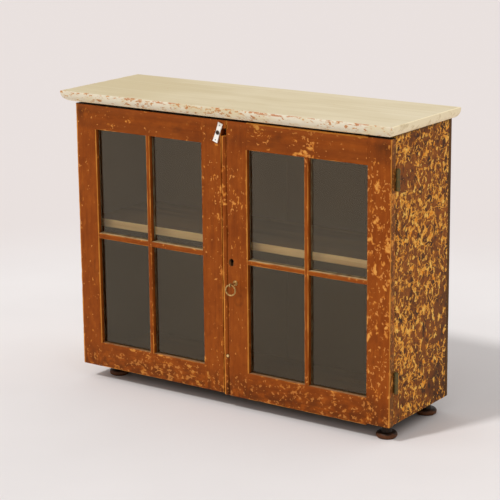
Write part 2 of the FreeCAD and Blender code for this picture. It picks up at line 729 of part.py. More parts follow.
def build():
    os.makedirs("parts", exist_ok=True)
    left = Door(-1, LEFT_DOOR)
    right = Door(1, RIGHT_DOOR)
    hinges = {side: {height: hinge(side, z) for height, z in HINGE_HEIGHTS.items()} for side in (-1, 1)}
    frame_holes = {side: [hole for fitting in hinges[side].values() for hole in fitting["frame_holes"]]
                   for side in hinges}
    for name, shape in carcass(frame_holes).items():
        save(name, shape)
    for place, point in FOOT_PLACES.items():
        save("foot_" + place, foot(point))
    for side, word in ((-1, "left"), (1, "right")):
        for height, fitting in hinges[side].items():
            save(word + "_" + height + "_frame_leaf", fitting["frame_leaf"])
    fittings = [fitting for side in hinges.values() for fitting in side.values()]
    save("hinge_pins", group([fitting["pin"] for fitting in fittings]))
    save("frame_hinge_screws", group([screw for fitting in fittings for screw in fitting["frame_screws"]]))
    save("back_nails", group([nail(head, 0) for head in back_nail_heads()]))
    save("top_screws", group([top_screw(point, 0) for point in top_screw_points()]))

    lip = box(left.meeting_edge, left.meeting_edge + LIP_W, DOOR_FRONT, DOOR_BACK, LIP_BOTTOM, left.top)
    save_door(left, hinges[-1], keep_screw_heads(), [pivot_shank(HOLE_FIT)], [lip])
    save_door(right, hinges[1], lock_screw_heads(), [keyhole(), eye_shank(HOLE_FIT)], [])
    save("left_door_lock_keep", lock_keep())
    save("left_door_button_screw", pivot_screw())
    save("right_door_meeting_bead", meeting_bead(right))
    save("right_door_lock_case", lock_case())
    save("right_door_pull_eye", pull_eye())
    save("turn_button", turn_button())
    save("pull_ring", pull_ring())
    save("lock_bolt", bolt_block(CASE_LEFT, CASE_LEFT + BOLT_L, 0))


build()
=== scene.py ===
"""Looks of the glazed cupboard: worn painted boards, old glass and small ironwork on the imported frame.

Metres, in the frame's axes: +Z is up and the front faces -Y.
"""

import bmesh
import bpy
import json
import math
import numpy as np
from itertools import product
from mathutils import Matrix, Vector, noise

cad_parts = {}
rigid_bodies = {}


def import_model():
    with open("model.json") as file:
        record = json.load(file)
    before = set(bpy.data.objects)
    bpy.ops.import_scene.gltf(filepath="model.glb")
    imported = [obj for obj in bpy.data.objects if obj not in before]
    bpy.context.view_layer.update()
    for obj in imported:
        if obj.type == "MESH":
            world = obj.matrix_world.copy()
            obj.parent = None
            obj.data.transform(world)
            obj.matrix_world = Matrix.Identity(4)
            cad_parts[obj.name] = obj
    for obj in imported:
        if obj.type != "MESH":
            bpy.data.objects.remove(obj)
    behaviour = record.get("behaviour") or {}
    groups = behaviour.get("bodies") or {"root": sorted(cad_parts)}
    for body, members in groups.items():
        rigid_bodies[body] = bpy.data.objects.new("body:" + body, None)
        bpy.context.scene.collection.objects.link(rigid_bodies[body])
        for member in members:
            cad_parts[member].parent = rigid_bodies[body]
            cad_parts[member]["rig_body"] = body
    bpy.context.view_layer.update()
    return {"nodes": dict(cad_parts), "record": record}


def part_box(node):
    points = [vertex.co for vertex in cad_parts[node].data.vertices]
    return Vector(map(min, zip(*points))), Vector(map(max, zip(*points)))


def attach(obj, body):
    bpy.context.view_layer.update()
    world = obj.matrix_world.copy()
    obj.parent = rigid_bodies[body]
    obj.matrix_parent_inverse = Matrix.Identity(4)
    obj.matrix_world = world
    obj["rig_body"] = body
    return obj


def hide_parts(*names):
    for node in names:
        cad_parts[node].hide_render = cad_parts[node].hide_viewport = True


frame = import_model()

MM = 0.001

# Camera, fitted to the edges of the cupboard in the photograph
CAMERA_PLACE = (2.64787, -3.78434, 1.56572)
CAMERA_AZIMUTH = math.radians(35.1417)
CAMERA_PITCH = math.radians(14.2296)
CAMERA_ROLL = math.radians(-0.5789)
CAMERA_LENS = 132.77
CAMERA_SENSOR = 36.0

# Door sections, as depths behind the door's front face and widths across
CHAMFER_W = 1 * MM
CHAMFER_DEPTH = 2 * MM
GLASS_DEPTH = 12 * MM
REBATE_W = 5 * MM
BAR_FACE_W = 10.5 * MM
TONGUE_W = 5 * MM
LIP_W = 15.5 * MM
LIP_BOTTOM = 733 * MM
LIP_REACH = 2.5 * MM
BEAD_ROUNDS = (4 * MM, 7 * MM)
BEAD_COVER_W = 8 * MM

# Keyhole in the right door
KEYHOLE_CENTRE = (17.5 * MM, 395.3 * MM)
KEYHOLE_R = 5.5 * MM
KEYHOLE_SLOT_W = 7 * MM
KEYHOLE_SLOT_L = 13 * MM
KEYHOLE_STEPS = 24
KEYHOLE_GRIME = (15.8 * MM, 391 * MM)
KEYHOLE_GRIME_SIZE = (8.5 * MM, 10.5 * MM)

# Turn button, at rest
BUTTON_PIVOT = (-18.3 * MM, -132 * MM, 721.6 * MM)
BUTTON_TILT = math.radians(20)
BUTTON_DIMPLE_REACH = 20 * MM
BUTTON_DIMPLE_R = 2.6 * MM
BUTTON_SCREW_R = 7.5 * MM

# Top board mouldings
TOP_UNDER_ROUND = 26 * MM
TOP_UNDER_STEPS = 8
TOP_UNDER_INSET = 40 * MM
TOP_ARRIS_ROUND = 2 * MM
TOP_CORNER_ROUND = 4 * MM
BROKEN_RUNS = ((-0.29, -0.05), (0.12, 0.44))
CHIPPED_END_W = 60 * MM

# Turned feet
FOOT_H = 42 * MM
FOOT_DISC_H = 15 * MM
FOOT_BASE_R = 22.5 * MM
FOOT_WAIST_R = 11 * MM
FOOT_SHOULDER_R = 14 * MM
FOOT_COLLAR_R = 17 * MM
FOOT_COLLAR_H = 5 * MM
FOOT_AROUND = 48
FOOT_DISC_STEPS = 10
FOOT_NECK_STEPS = 9

# Panes
PANE_COLUMNS = 14
PANE_ROWS = 20
PANE_RIPPLE = 0.35 * MM

# Wear of the wooden pieces
FAR = 1.0
ARRIS_ROUND = 1.3 * MM
RAIL_END_ROUND = 0.5 * MM
BAR_END_ROUND = 0.3 * MM
SIDE_ROUND = 1.5 * MM
INNER_ROUND = 1.2 * MM
SKIN = 0.15 * MM
RUB_REACH = 4 * MM
JOINT_REACH = 9 * MM
NICK_REACH = 2.5 * MM
STATION_STEP = 6 * MM
FEATHER = (1.5 * MM, 4 * MM, 8 * MM, 14 * MM)
FACE_STEP = 25 * MM
ARC_STEPS = 3
SHARP_ANGLE = math.radians(38)
# Bands along the doors' top edges painted near black: painted shade of the gap under the top board
TOP_SHADE_BANDS = {"left_door": 1.2 * MM, "right_door": 0.4 * MM}
WORN_HEEL = 4 * MM

# Back boards
BACK_BOARDS = 4
BACK_LAP = 0.8 * MM
BACK_ROUND = 2.5 * MM

# How rubbed the doors' arrises are
HINGE_WEAR = {"left_door": 1.9, "right_door": 1.3}
MEETING_WEAR = {"left_door": 1.0, "right_door": 2.4}
COVERED_WEAR = 0.2
TOP_RAIL_WEAR = {"left_door": 1.0, "right_door": 2.1}
BOTTOM_RAIL_WEAR = 1.0
RAIL_ARRIS_WEAR = 0.75
LEFT_STILE_ARRIS_WEAR = 1.3
RIGHT_STILE_ARRIS_WEAR = 0.7
BAR_ARRIS_WEAR = 0.95
BEAD_WEAR = 1.9

# Heights on the doors between which a change of the paint sets in, painted light near the top among them
LOW_DIRT = (0.115, 0.045)
LOW_SPECKS = (0.105, 0.075)
LOW_FAINT = (0.12, 0.09)
# painted light: lighter paint up to the top of the doors, against the top board's cast shadow
PAINTED_LIGHT_TOP = (0.726, 0.752)
OVER_GLASS_START = (0.685, 0.7)
OVER_GLASS_END = (0.73, 0.705)

# First seed of the wear of each group of pieces
SEEDS = {"left_door": 1, "right_door": 11, "bead": 31, "sides": 41, "inner": 50, "back": 60,
         "top": 71, "feet": 80, "panes": 90}

# Floor and light
FLOOR_R = 30
FLOOR_STEPS = 64
WORLD_STRENGTH = 0.8
SUN_ENERGY = 1.34
SUN_ANGLE = math.radians(6)
SUN_WAY = (0.2, 0.47, -0.625)

# A pale chip on the round of the meeting bead
BEAD_CHIP = (0.5 * MM, -126.5 * MM, 141.5 * MM)
BEAD_CHIP_R = 4.5 * MM
BEAD_CHIP_RIM = 7.5 * MM

# Where the doors' paint has flaked most, and where it is darkest from dark smudges and, along the left door's top,
# from painted shade under the top board: x and z of the middle, reach, strength
FLAKED_SPOTS = [
    (-0.450, 0.738, 0.040, 0.35), (-0.338, 0.706, 0.055, 0.35), (-0.058, 0.738, 0.035, 0.40),
    (-0.005, 0.560, 0.080, 0.55), (-0.310, 0.073, 0.110, 0.30), (-0.184, 0.055, 0.100, 0.38),
    (-0.060, 0.060, 0.070, 0.30), (-0.035, 0.400, 0.060, 0.22),
    (0.110, 0.734, 0.035, 0.90), (0.250, 0.720, 0.050, 0.80), (0.453, 0.626, 0.085, 0.60),
    (0.450, 0.465, 0.080, 0.75), (0.450, 0.311, 0.075, 0.60), (0.450, 0.150, 0.080, 0.55),
    (0.313, 0.062, 0.085, 0.38), (0.180, 0.066, 0.070, 0.30), (0.075, 0.080, 0.050, 0.30),
    (0.460, 0.066, 0.040, 0.45), (0.040, 0.346, 0.025, 0.40),
]
SMUDGE_AND_SHADE_SPOTS = [
    # spots at a height of 0.756 are painted shade under the top board; the others are dark smudges
    (-0.468, 0.745, 0.028, 0.9), (-0.410, 0.756, 0.018, 0.6), (-0.370, 0.756, 0.018, 0.6),
    (-0.330, 0.756, 0.018, 0.6), (-0.290, 0.756, 0.018, 0.5), (0.462, 0.742, 0.030, 0.9),
    (0.425, 0.085, 0.025, 0.7),
]


def srgb(red, green, blue):
    """A colour written in the usual 0 to 255 steps, as the linear values that shaders take."""
    def linear(step):
        share = step / 255
        return share / 12.92 if share <= 0.04045 else ((share + 0.055) / 1.055) ** 2.4
    return (linear(red), linear(green), linear(blue), 1.0)


class Finish:
    """A procedural material in the making: most methods add nodes and give back an output socket."""

    def __init__(self, name):
        self.material = bpy.data.materials.new(name)
        self.material.use_nodes = True
        self.nodes = self.material.node_tree.nodes
        self.links = self.material.node_tree.links
        self.shader = self.nodes["Principled BSDF"]
        self.place = self.nodes.new("ShaderNodeTexCoord").outputs["Object"]
        self.colour = None

    def feed(self, node, socket, value):
        """Links a socket of a node to an output, or sets it to a plain value."""
        if isinstance(value, bpy.types.NodeSocket):
            self.links.new(value, node.inputs[socket])
        else:
            node.inputs[socket].default_value = value

    def make(self, kind, output, inputs, **settings):
        """One output of a new node with some settings and inputs."""
        node = self.nodes.new("ShaderNode" + kind)
        for key, setting in settings.items():
            setattr(node, key, setting)
        for socket, value in inputs.items():
            self.feed(node, socket, value)
        return node.outputs[output]

    def attribute(self, name):
        return self.make("Attribute", "Fac", {}, attribute_name=name)

    def stretched(self, stretch, shift=(0, 0, 0)):
        return self.make("Mapping", "Vector", {"Vector": self.place, "Scale": stretch, "Location": shift})

    def noise(self, scale, detail=4.0, rough=0.55, twist=0.0, stretch=(1, 1, 1), shift=(0, 0, 0)):
        return self.make("TexNoise", "Fac", {
            "Vector": self.stretched(stretch, shift), "Scale": scale, "Detail": detail, "Roughness": rough,
            "Distortion": twist})

    def cells(self, scale, stretch):
        """Distance to the nearest of many scattered points."""
        return self.make("TexVoronoi", "Distance", {"Vector": self.stretched(stretch), "Scale": scale})

    def coordinate(self, axis):
        """Place along one of the frame's axes, in metres."""
        return self.make("SeparateXYZ", axis, {"Vector": self.place})

    def math(self, operation, first, second=0.0):
        return self.make("Math", "Value", {0: first, 1: second}, operation=operation)

    def add(self, first, second):
        return self.math("ADD", first, second)

    def times(self, first, second):
        return self.math("MULTIPLY", first, second)

    def most(self, first, second):
        return self.math("MAXIMUM", first, second)

    def ragged(self, value, pattern, amount):
        """A value moved up and down by a pattern that is a half on average."""
        return self.add(value, self.times(self.add(pattern, -0.5), amount))

    def ramp(self, value, low, high):
        """Smooth step from 0 at low to 1 at high."""
        return self.make("MapRange", "Result", {"Value": value, "From Min": low, "From Max": high},
                         interpolation_type="SMOOTHSTEP")

    def blend(self, share, first, second, data_type="FLOAT"):
        """A number between two numbers."""
        return self.make("Mix", "Result", {"Factor": share, "A": first, "B": second}, data_type=data_type)

    def mix(self, share, first, second):
        """A colour between two colours."""
        return self.blend(share, first, second, "RGBA")

    def lay(self, share, colour):
        """Lays a colour over the finish so far."""
        self.colour = self.mix(share, self.colour, colour)

    def tint(self, mask, amount, *steps):
        """Lays some amount of a colour, in 0 to 255 steps, over the finish so far."""
        self.lay(self.times(mask, amount), srgb(*steps))

    def dull(self, level):
        """Lowers the gloss of dry old paint or wood."""
        self.feed(self.shader, "Specular IOR Level", level)

    def near(self, point, reach):
        """1 at a point of the object, fading to 0 at some reach from it."""
        away = self.make("VectorMath", "Value", {0: self.place, 1: point}, operation="DISTANCE")
        return self.ramp(away, reach, 0.6 * reach)

    def oval(self, centre, size):
        """1 in the middle of an oval patch of the front, given as x and z, fading to 0 round its edge."""
        parts = [self.times(self.add(self.coordinate(axis), -middle), 1 / half)
                 for axis, middle, half in zip("XZ", centre, size)]
        away = self.add(*(self.times(part, part) for part in parts))
        return self.ramp(away, 1.3, 0.5)

    def done(self, roughness, height, relief):
        """Wires the colour, a roughness and a height in metres of relief into the shader."""
        normal = self.make("Bump", "Normal", {"Strength": 1.0, "Distance": relief, "Height": height})
        for socket, value in (("Base Color", self.colour), ("Roughness", roughness), ("Normal", normal)):
            self.feed(self.shader, socket, value)
        return self.material


def along(axis, share):
    """Stretch of a pattern along an axis: features are 1/share times longer that way."""
    return tuple(share if name == axis else 1.0 for name in "XYZ")


def door_coat(f, axis, streak, height):
    """The coat of orange-brown, with brush streaks, grime, dark smudges and darkened or chipped outer edges;
    painted light near the door tops, painted shade along the left door's top and in the groove beside the bead.
    """
    broad = f.noise(7, 3)
    mottle = f.noise(48, 5, 0.65, stretch=along(axis, 0.6), shift=(2, 8, 4))
    f.colour = f.mix(f.ramp(broad, 0.3, 0.7), srgb(148, 73, 18), srgb(133, 62, 13))
    f.tint(f.ramp(mottle, 0.5, 0.72), 0.5, 114, 50, 10)
    f.tint(f.ramp(mottle, 0.48, 0.3), 0.45, 170, 90, 26)
    f.tint(f.ramp(streak, 0.5, 0.8), 0.55, 106, 46, 8)
    f.tint(f.ramp(streak, 0.5, 0.2), 0.35, 168, 88, 24)
    grime = f.ramp(f.noise(16, 5, 0.65, stretch=along(axis, 0.5), shift=(3, 1, 2)), 0.56, 0.76)
    low_dirt = f.times(f.ramp(height, *LOW_DIRT), f.ramp(mottle, 0.36, 0.6))
    # dark smudges, and painted shade along the left door's top under the top board
    smudge = f.times(f.attribute("smudge"), f.ramp(mottle, 0.3, 0.52))
    f.lay(f.most(f.times(f.most(grime, low_dirt), 0.6), smudge), srgb(78, 40, 14))
    # painted light near the top of the doors, against the top board's cast shadow
    f.tint(f.ramp(height, *PAINTED_LIGHT_TOP), 0.45, 192, 100, 38)
    over_glass = f.times(f.ramp(height, *OVER_GLASS_START), f.ramp(height, *OVER_GLASS_END))
    f.tint(over_glass, 0.3, 100, 48, 16)
    edge = f.attribute("edge")
    f.lay(f.times(edge, f.ramp(mottle, 0.3, 0.55)), srgb(118, 72, 30))
    chips = f.ramp(f.noise(80, 4, 0.6, 1.2, stretch=(1, 1, 0.7)), 0.555, 0.59)
    f.tint(f.times(edge, chips), 0.75, 196, 128, 58)
    # painted shade, with some grime, in the groove beside the meeting bead
    f.tint(f.attribute("quirk"), 0.9, 54, 28, 6)


def door_flakes(f, axis, wear, height):
    """Flakes and specks down to the ochre, and where they are."""
    density = f.ragged(f.attribute("flaked"), f.noise(11, 2, shift=(5, 2, 1)), 0.5)
    density = f.add(density, f.times(wear, 0.3))
    patch = f.noise(66, 5, 0.56, 0.3, stretch=along(axis, 0.65))
    strength = f.add(patch, f.times(density, 0.2))
    flake = f.ramp(strength, 0.69, 0.715)
    core = f.ramp(strength, 0.7, 0.8)
    specks = f.add(f.noise(130, 2, stretch=along(axis, 0.75)), f.times(density, 0.14))
    specks = f.add(specks, f.times(f.ramp(height, *LOW_SPECKS), 0.055))
    speck = f.ramp(specks, 0.7, 0.725)
    bold = f.blend(f.ramp(height, *LOW_FAINT), 0.9, 0.6)
    f.lay(f.times(flake, bold), f.mix(core, srgb(190, 108, 36), srgb(228, 160, 76)))
    f.lay(f.times(speck, bold), srgb(208, 134, 64))
    return f.most(flake, speck)


def door_rub(f, axis, wear, streak):
    """Arrises rubbed through to the wood, and where they are."""
    rubbed = f.ramp(f.ragged(wear, f.noise(30, 4, 0.6, stretch=along(axis, 0.4)), 1.3), 0.72, 0.92)
    f.lay(f.times(rubbed, 0.9), f.mix(streak, srgb(228, 158, 70), srgb(186, 106, 34)))
    return rubbed


def door_marks(f):
    """The chip on the bead, grime round the keyhole, dust towards the glass, and painted shade in the reveals by
    the glass, along the doors' top edges under the top board and inside the keyhole.
    """
    f.tint(f.near(BEAD_CHIP, BEAD_CHIP_RIM), 0.7, 70, 40, 8)
    f.lay(f.near(BEAD_CHIP, BEAD_CHIP_R), srgb(236, 196, 130))
    f.tint(f.oval(KEYHOLE_GRIME, KEYHOLE_GRIME_SIZE), 0.8, 62, 48, 22)
    reveal = f.attribute("reveal")
    ledge = f.attribute("ledge")
    # painted shade on the walls of the openings
    f.tint(f.ramp(reveal, 0.05, 0.3), 0.2, 98, 58, 24)
    dust = f.times(ledge, f.ramp(f.noise(60, 3), 0.25, 0.5))
    f.lay(f.times(dust, f.blend(f.attribute("pale"), 0.3, 0.8)), srgb(206, 176, 128))
    # painted shade: near black on the reveal next to the glass, standing also for the reveal's dark reflection in
    # the glass
    f.lay(f.times(f.ramp(reveal, 0.74, 1.04), f.blend(ledge, 0.75, 0.35)), srgb(34, 24, 14))
    # painted shade: near black along the doors' top edges under the top board and inside the keyhole
    f.lay(f.ramp(f.attribute("soot"), 0.02, 0.16), srgb(40, 28, 18))


def door_paint(axis):
    """Orange-brown oil paint over ochre, flaked in places and rubbed through along the arrises."""
    f = Finish("door_paint_" + axis)
    wear = f.attribute("wear")
    height = f.coordinate("Z")
    streak = f.noise(150, 5, 0.6, stretch=along(axis, 0.05))
    door_coat(f, axis, streak, height)
    flaked = door_flakes(f, axis, wear, height)
    bare = f.most(flaked, door_rub(f, axis, wear, streak))
    door_marks(f)
    f.dull(0.08)
    rough = f.blend(bare, f.blend(streak, 0.4, 0.54), 0.72)
    relief = f.add(f.times(bare, -0.8), f.add(f.times(streak, 0.35), f.times(f.noise(600, 2), 0.1)))
    return f.done(rough, relief, 0.3 * MM)


def side_paint():
    """Brown paint on the ends of the carcass, flaked all over in ragged grains down to an ochre coat."""
    f = Finish("side_paint")
    wear = f.attribute("wear")
    broad = f.noise(9, 4, 0.6)
    mottle = f.noise(42, 5, 0.62, shift=(1, 4, 2))
    # painted shade: darker towards the rear and the bottom of the side, with fewer flakes there
    low_rear_shade = f.times(f.ramp(f.coordinate("Y"), 0.0, 0.15), f.ramp(f.coordinate("Z"), 0.5, 0.15))
    f.colour = f.mix(f.ramp(broad, 0.35, 0.65), srgb(104, 58, 24), srgb(138, 76, 28))
    f.tint(f.ramp(mottle, 0.48, 0.64), 0.7, 160, 92, 32)
    f.tint(f.ramp(mottle, 0.48, 0.34), 0.9, 60, 39, 26)
    # painted shade towards the rear bottom
    f.tint(low_rear_shade, 0.6, 74, 48, 32)

    cluster = f.add(f.noise(9, 4, 0.6, shift=(7, 3, 5)), f.times(low_rear_shade, -0.04))
    grain = f.noise(60, 3.5, 0.55, 0.3, stretch=(1, 1.15, 0.85))
    strength = f.add(f.ragged(grain, cluster, 0.28), f.times(wear, 0.05))
    flake = f.ramp(strength, 0.557, 0.575)
    winding = f.math("ABSOLUTE", f.add(f.noise(46, 3, 0.5, 0.3, shift=(3, 5, 9)), -0.5))
    thread = f.times(f.ramp(winding, 0.03, 0.018), f.ramp(cluster, 0.38, 0.48))
    tone = f.ramp(f.noise(58, 3, shift=(6, 2, 4)), 0.35, 0.65)
    under = f.mix(tone, srgb(232, 142, 40), srgb(255, 202, 100))
    f.tint(f.ramp(strength, 0.525, 0.553), 0.4, 64, 38, 22)
    f.lay(f.times(flake, 0.95), under)
    f.lay(f.times(thread, 0.9), f.mix(tone, srgb(252, 182, 80), srgb(212, 130, 42)))
    shade = f.ramp(f.coordinate("Z"), 0.75, 0.763)
    f.lay(f.times(shade, f.ramp(mottle, 0.3, 0.5)), srgb(78, 58, 26))

    rubbed = f.ramp(f.ragged(wear, f.noise(34, 4, 0.6), 1.6), 0.9, 1.06)
    f.tint(rubbed, 0.8, 206, 140, 64)

    bare = f.most(f.most(flake, thread), rubbed)
    f.dull(0.08)
    rough = f.blend(bare, f.blend(mottle, 0.46, 0.62), 0.74)
    height = f.add(f.times(bare, -0.8), f.times(mottle, 0.3))
    return f.done(rough, height, 0.35 * MM)


def cream_paint():
    """Cream paint on the top board, brushed lengthways, chipped to the old brown along its rim, and painted lighter
    on the under-round and the right end as painted light.
    """
    f = Finish("cream_paint")
    wear = f.attribute("wear")
    rim = f.attribute("rim")
    broad = f.noise(5, 3, stretch=along("X", 0.4))
    streak = f.noise(70, 5, 0.6, stretch=along("X", 0.035))
    brighter = f.add(broad, f.times(f.coordinate("X"), 0.35))
    f.colour = f.mix(f.ramp(brighter, 0.3, 0.7), srgb(209, 192, 152), srgb(225, 211, 178))
    f.tint(f.ramp(streak, 0.5, 0.78), 0.32, 198, 178, 136)
    f.tint(f.ramp(streak, 0.48, 0.25), 0.28, 234, 224, 200)
    stain = f.ramp(f.noise(12, 4, 0.6, shift=(2, 6, 1), stretch=along("X", 0.5)), 0.58, 0.75)
    f.tint(stain, 0.45, 208, 188, 140)
    # painted light: lighter cream on the under-round and the right end face, against their shade
    under = f.attribute("under")
    f.lay(under, srgb(250, 234, 196))
    soiled = f.times(under, f.ramp(f.noise(40, 4, 0.6, shift=(8, 3, 3)), 0.5, 0.62))
    f.tint(soiled, 0.4, 190, 164, 112)
    white = f.times(f.ramp(rim, 0.3, 0.9), f.ramp(f.noise(26, 4, 0.6, stretch=along("X", 0.5)), 0.4, 0.56))
    f.tint(white, 0.7, 234, 226, 206)

    patch = f.noise(165, 4, 0.6, 0.3, stretch=along("X", 0.5))
    cluster = f.noise(16, 2, shift=(4, 1, 8), stretch=along("X", 0.7))
    strength = f.ragged(patch, cluster, 0.3)
    strength = f.add(strength, f.add(f.times(rim, 0.17), f.times(wear, 0.02)))
    chip = f.ramp(strength, 0.725, 0.75)
    core = f.ramp(strength, 0.745, 0.82)
    f.lay(f.times(chip, 0.85), f.mix(core, srgb(222, 172, 112), srgb(184, 104, 42)))
    scratch = f.ramp(f.noise(210, 3, 0.6, stretch=along("X", 0.03), shift=(1, 9, 3)), 0.66, 0.72)
    f.tint(scratch, 0.18, 176, 150, 106)
    dashes = f.ramp(f.noise(120, 3, 0.6, stretch=along("X", 0.28), shift=(6, 6, 2)), 0.53, 0.58)
    crack = f.times(f.ramp(f.attribute("crack"), 0.35, 0.75), dashes)
    f.tint(crack, 0.8, 190, 108, 46)

    f.dull(0.12)
    rough = f.blend(chip, f.blend(streak, 0.42, 0.58), 0.75)
    height = f.add(f.times(chip, -0.9), f.add(f.times(streak, 0.15), f.times(scratch, -0.15)))
    return f.done(rough, height, 0.35 * MM)


def bare_wood(name, axis, pale, dark, grey, relief=0.25 * MM):
    """Old unpainted softwood: long grain, darker summer lines, dust-grey patches."""
    f = Finish(name)
    tone = f.attribute("tone")
    rings = f.noise(38, 4, 0.5, 0.6, stretch=along(axis, 0.06))
    fibre = f.noise(420, 3, 0.6, stretch=along(axis, 0.03))
    broad = f.noise(6, 3, stretch=along(axis, 0.4))
    f.colour = f.mix(f.ramp(rings, 0.35, 0.68), pale, dark)
    f.lay(f.times(f.ramp(fibre, 0.5, 0.75), 0.4), dark)
    f.lay(f.times(f.ramp(broad, 0.45, 0.7), 0.55), grey)
    f.lay(f.times(tone, 0.5), dark)
    knot = f.ramp(f.cells(3.2, along(axis, 0.55)), 0.045, 0.02)
    f.tint(knot, 0.75, 72, 44, 26)
    f.dull(0.1)
    rough = f.blend(fibre, 0.62, 0.8)
    height = f.add(f.times(rings, -0.4), f.times(fibre, 0.5))
    return f.done(rough, height, relief)


def foot_wood():
    """Dark stained turned wood, paler round the rim: scuffed there, and painted lighter where the lower rim catches
    the light.
    """
    f = Finish("foot_wood")
    wear = f.attribute("wear")
    grain = f.noise(130, 4, 0.6, stretch=along("Z", 0.3))
    f.colour = f.mix(f.ramp(grain, 0.35, 0.7), srgb(46, 29, 18), srgb(30, 19, 12))
    # scuffing, and painted light on the lower rim of the disc
    scuff_and_light = f.ramp(f.ragged(wear, f.noise(70, 4, 0.6), 1.2), 0.45, 0.8)
    f.lay(f.times(scuff_and_light, 0.8), f.mix(grain, srgb(112, 66, 36), srgb(80, 46, 24)))
    f.dull(0.2)
    return f.done(f.blend(scuff_and_light, 0.45, 0.62), grain, 0.2 * MM)


def iron(name, dark, rust, metal):
    """Old ironwork: dull and dark, browned with rust in patches."""
    f = Finish(name)
    patch = f.noise(190, 5, 0.65)
    fine = f.noise(900, 3, 0.6)
    f.colour = f.mix(f.ramp(patch, 0.42, 0.66), dark, rust)
    f.tint(f.ramp(fine, 0.5, 0.75), 0.5, 30, 24, 20)
    f.feed(f.shader, "Metallic", metal)
    f.dull(0.2)
    rough = f.blend(f.ramp(patch, 0.4, 0.65), 0.45, 0.75)
    return f.done(rough, f.add(patch, f.times(fine, 0.5)), 0.12 * MM)


def dimple_place(side):
    """Middle of one of the button's two dimples."""
    x, y, z = BUTTON_PIVOT
    lean = math.sin(BUTTON_TILT), math.cos(BUTTON_TILT)
    return (x + side * BUTTON_DIMPLE_REACH * lean[0], y, z + side * BUTTON_DIMPLE_REACH * lean[1])


def white_paint():
    """White paint on the turn button, greyed and worn thin in places."""
    f = Finish("white_paint")
    broad = f.noise(160, 4, 0.6)
    fine = f.noise(700, 3, 0.6)
    f.colour = f.mix(f.ramp(broad, 0.4, 0.7), srgb(255, 252, 244), srgb(244, 238, 226))
    f.tint(f.ramp(fine, 0.62, 0.72), 0.6, 150, 146, 140)
    f.tint(f.near(BUTTON_PIVOT, BUTTON_SCREW_R), 0.85, 52, 44, 36)
    for side in (-1, 1):
        f.tint(f.near(dimple_place(side), BUTTON_DIMPLE_R), 0.8, 132, 140, 146)
    return f.done(f.blend(broad, 0.38, 0.55), f.add(broad, f.times(fine, 0.4)), 0.1 * MM)


def brass():
    """Handled brass: bright where fingers rub it, brown in the hollows."""
    f = Finish("brass")
    patch = f.noise(240, 4, 0.6)
    fine = f.noise(1100, 3, 0.6)
    f.colour = f.mix(f.ramp(patch, 0.35, 0.65), srgb(216, 178, 114), srgb(152, 114, 62))
    f.tint(f.ramp(fine, 0.52, 0.7), 0.5, 70, 48, 18)
    f.feed(f.shader, "Metallic", 0.85)
    return f.done(f.blend(patch, 0.34, 0.55), f.add(patch, fine), 0.05 * MM)


def putty_finish():
    """Hardened glazing putty, painted over and cracked."""
    f = Finish("putty")
    broad = f.noise(45, 4, 0.6)
    fine = f.noise(420, 4, 0.65)
    f.colour = f.mix(f.ramp(broad, 0.35, 0.65), srgb(176, 158, 122), srgb(140, 112, 76))
    f.tint(f.ramp(fine, 0.58, 0.7), 0.6, 98, 70, 44)
    return f.done(f.blend(fine, 0.6, 0.8), f.add(broad, fine), 0.3 * MM)


def glass():
    """Thin old window glass with faint ripples and a little dust, tinted darker in the lower panes as painted
    shade.
    """
    f = Finish("glass")
    f.feed(f.shader, "Transmission Weight", 1.0)
    f.feed(f.shader, "IOR", 1.5)
    f.feed(f.shader, "Specular Tint", srgb(255, 238, 208))
    ripple = f.noise(9, 2, 0.4, stretch=along("X", 0.5))
    dust = f.noise(30, 5, 0.6)
    f.colour = f.mix(dust, srgb(244, 246, 240), srgb(252, 253, 250))
    # painted shade: the glass tinted darker towards the bottom, so the lower panes look darker
    f.tint(f.ramp(f.coordinate("Z"), 0.45, 0.36), 0.45, 180, 166, 140)
    return f.done(0.0, ripple, 0.12 * MM)


def make_finishes():
    """Every material by the key that pieces ask for: the record's slot names, with grain directions."""
    pine = (srgb(236, 194, 132), srgb(206, 150, 88), srgb(216, 178, 124))
    dusky = (srgb(104, 74, 42), srgb(82, 54, 28), srgb(92, 70, 48))
    shaded = (srgb(86, 67, 46), srgb(82, 63, 42), srgb(84, 66, 47))
    boards = (srgb(112, 78, 44), srgb(78, 50, 28), srgb(92, 72, 52))
    return {
        "cream_paint": cream_paint(),
        "door_paint_X": door_paint("X"),
        "door_paint_Z": door_paint("Z"),
        "side_paint": side_paint(),
        "bare_wood": bare_wood("bare_wood", "X", *dusky),
        "pale_edge": bare_wood("pale_edge", "X", *pine),
        "inner_wood": bare_wood("inner_wood", "Z", *shaded, relief=0.02 * MM),
        "back_wood": bare_wood("back_wood", "Z", *boards),
        "foot_wood": foot_wood(),
        "glass": glass(),
        "putty": putty_finish(),
        "iron": iron("iron", srgb(52, 50, 44), srgb(86, 56, 38), 0.6),
        "hinge_iron": iron("hinge_iron", srgb(90, 84, 50), srgb(118, 88, 46), 0.0),
        "white_paint": white_paint(),
        "brass": brass(),
    }


finishes = make_finishes()


def body_of(node):
    return frame["nodes"][node]["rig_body"]


def slot_of(node):
    for row in frame["record"]["subparts"]:
        if row["node"] == node:
            return row["material_slot"]


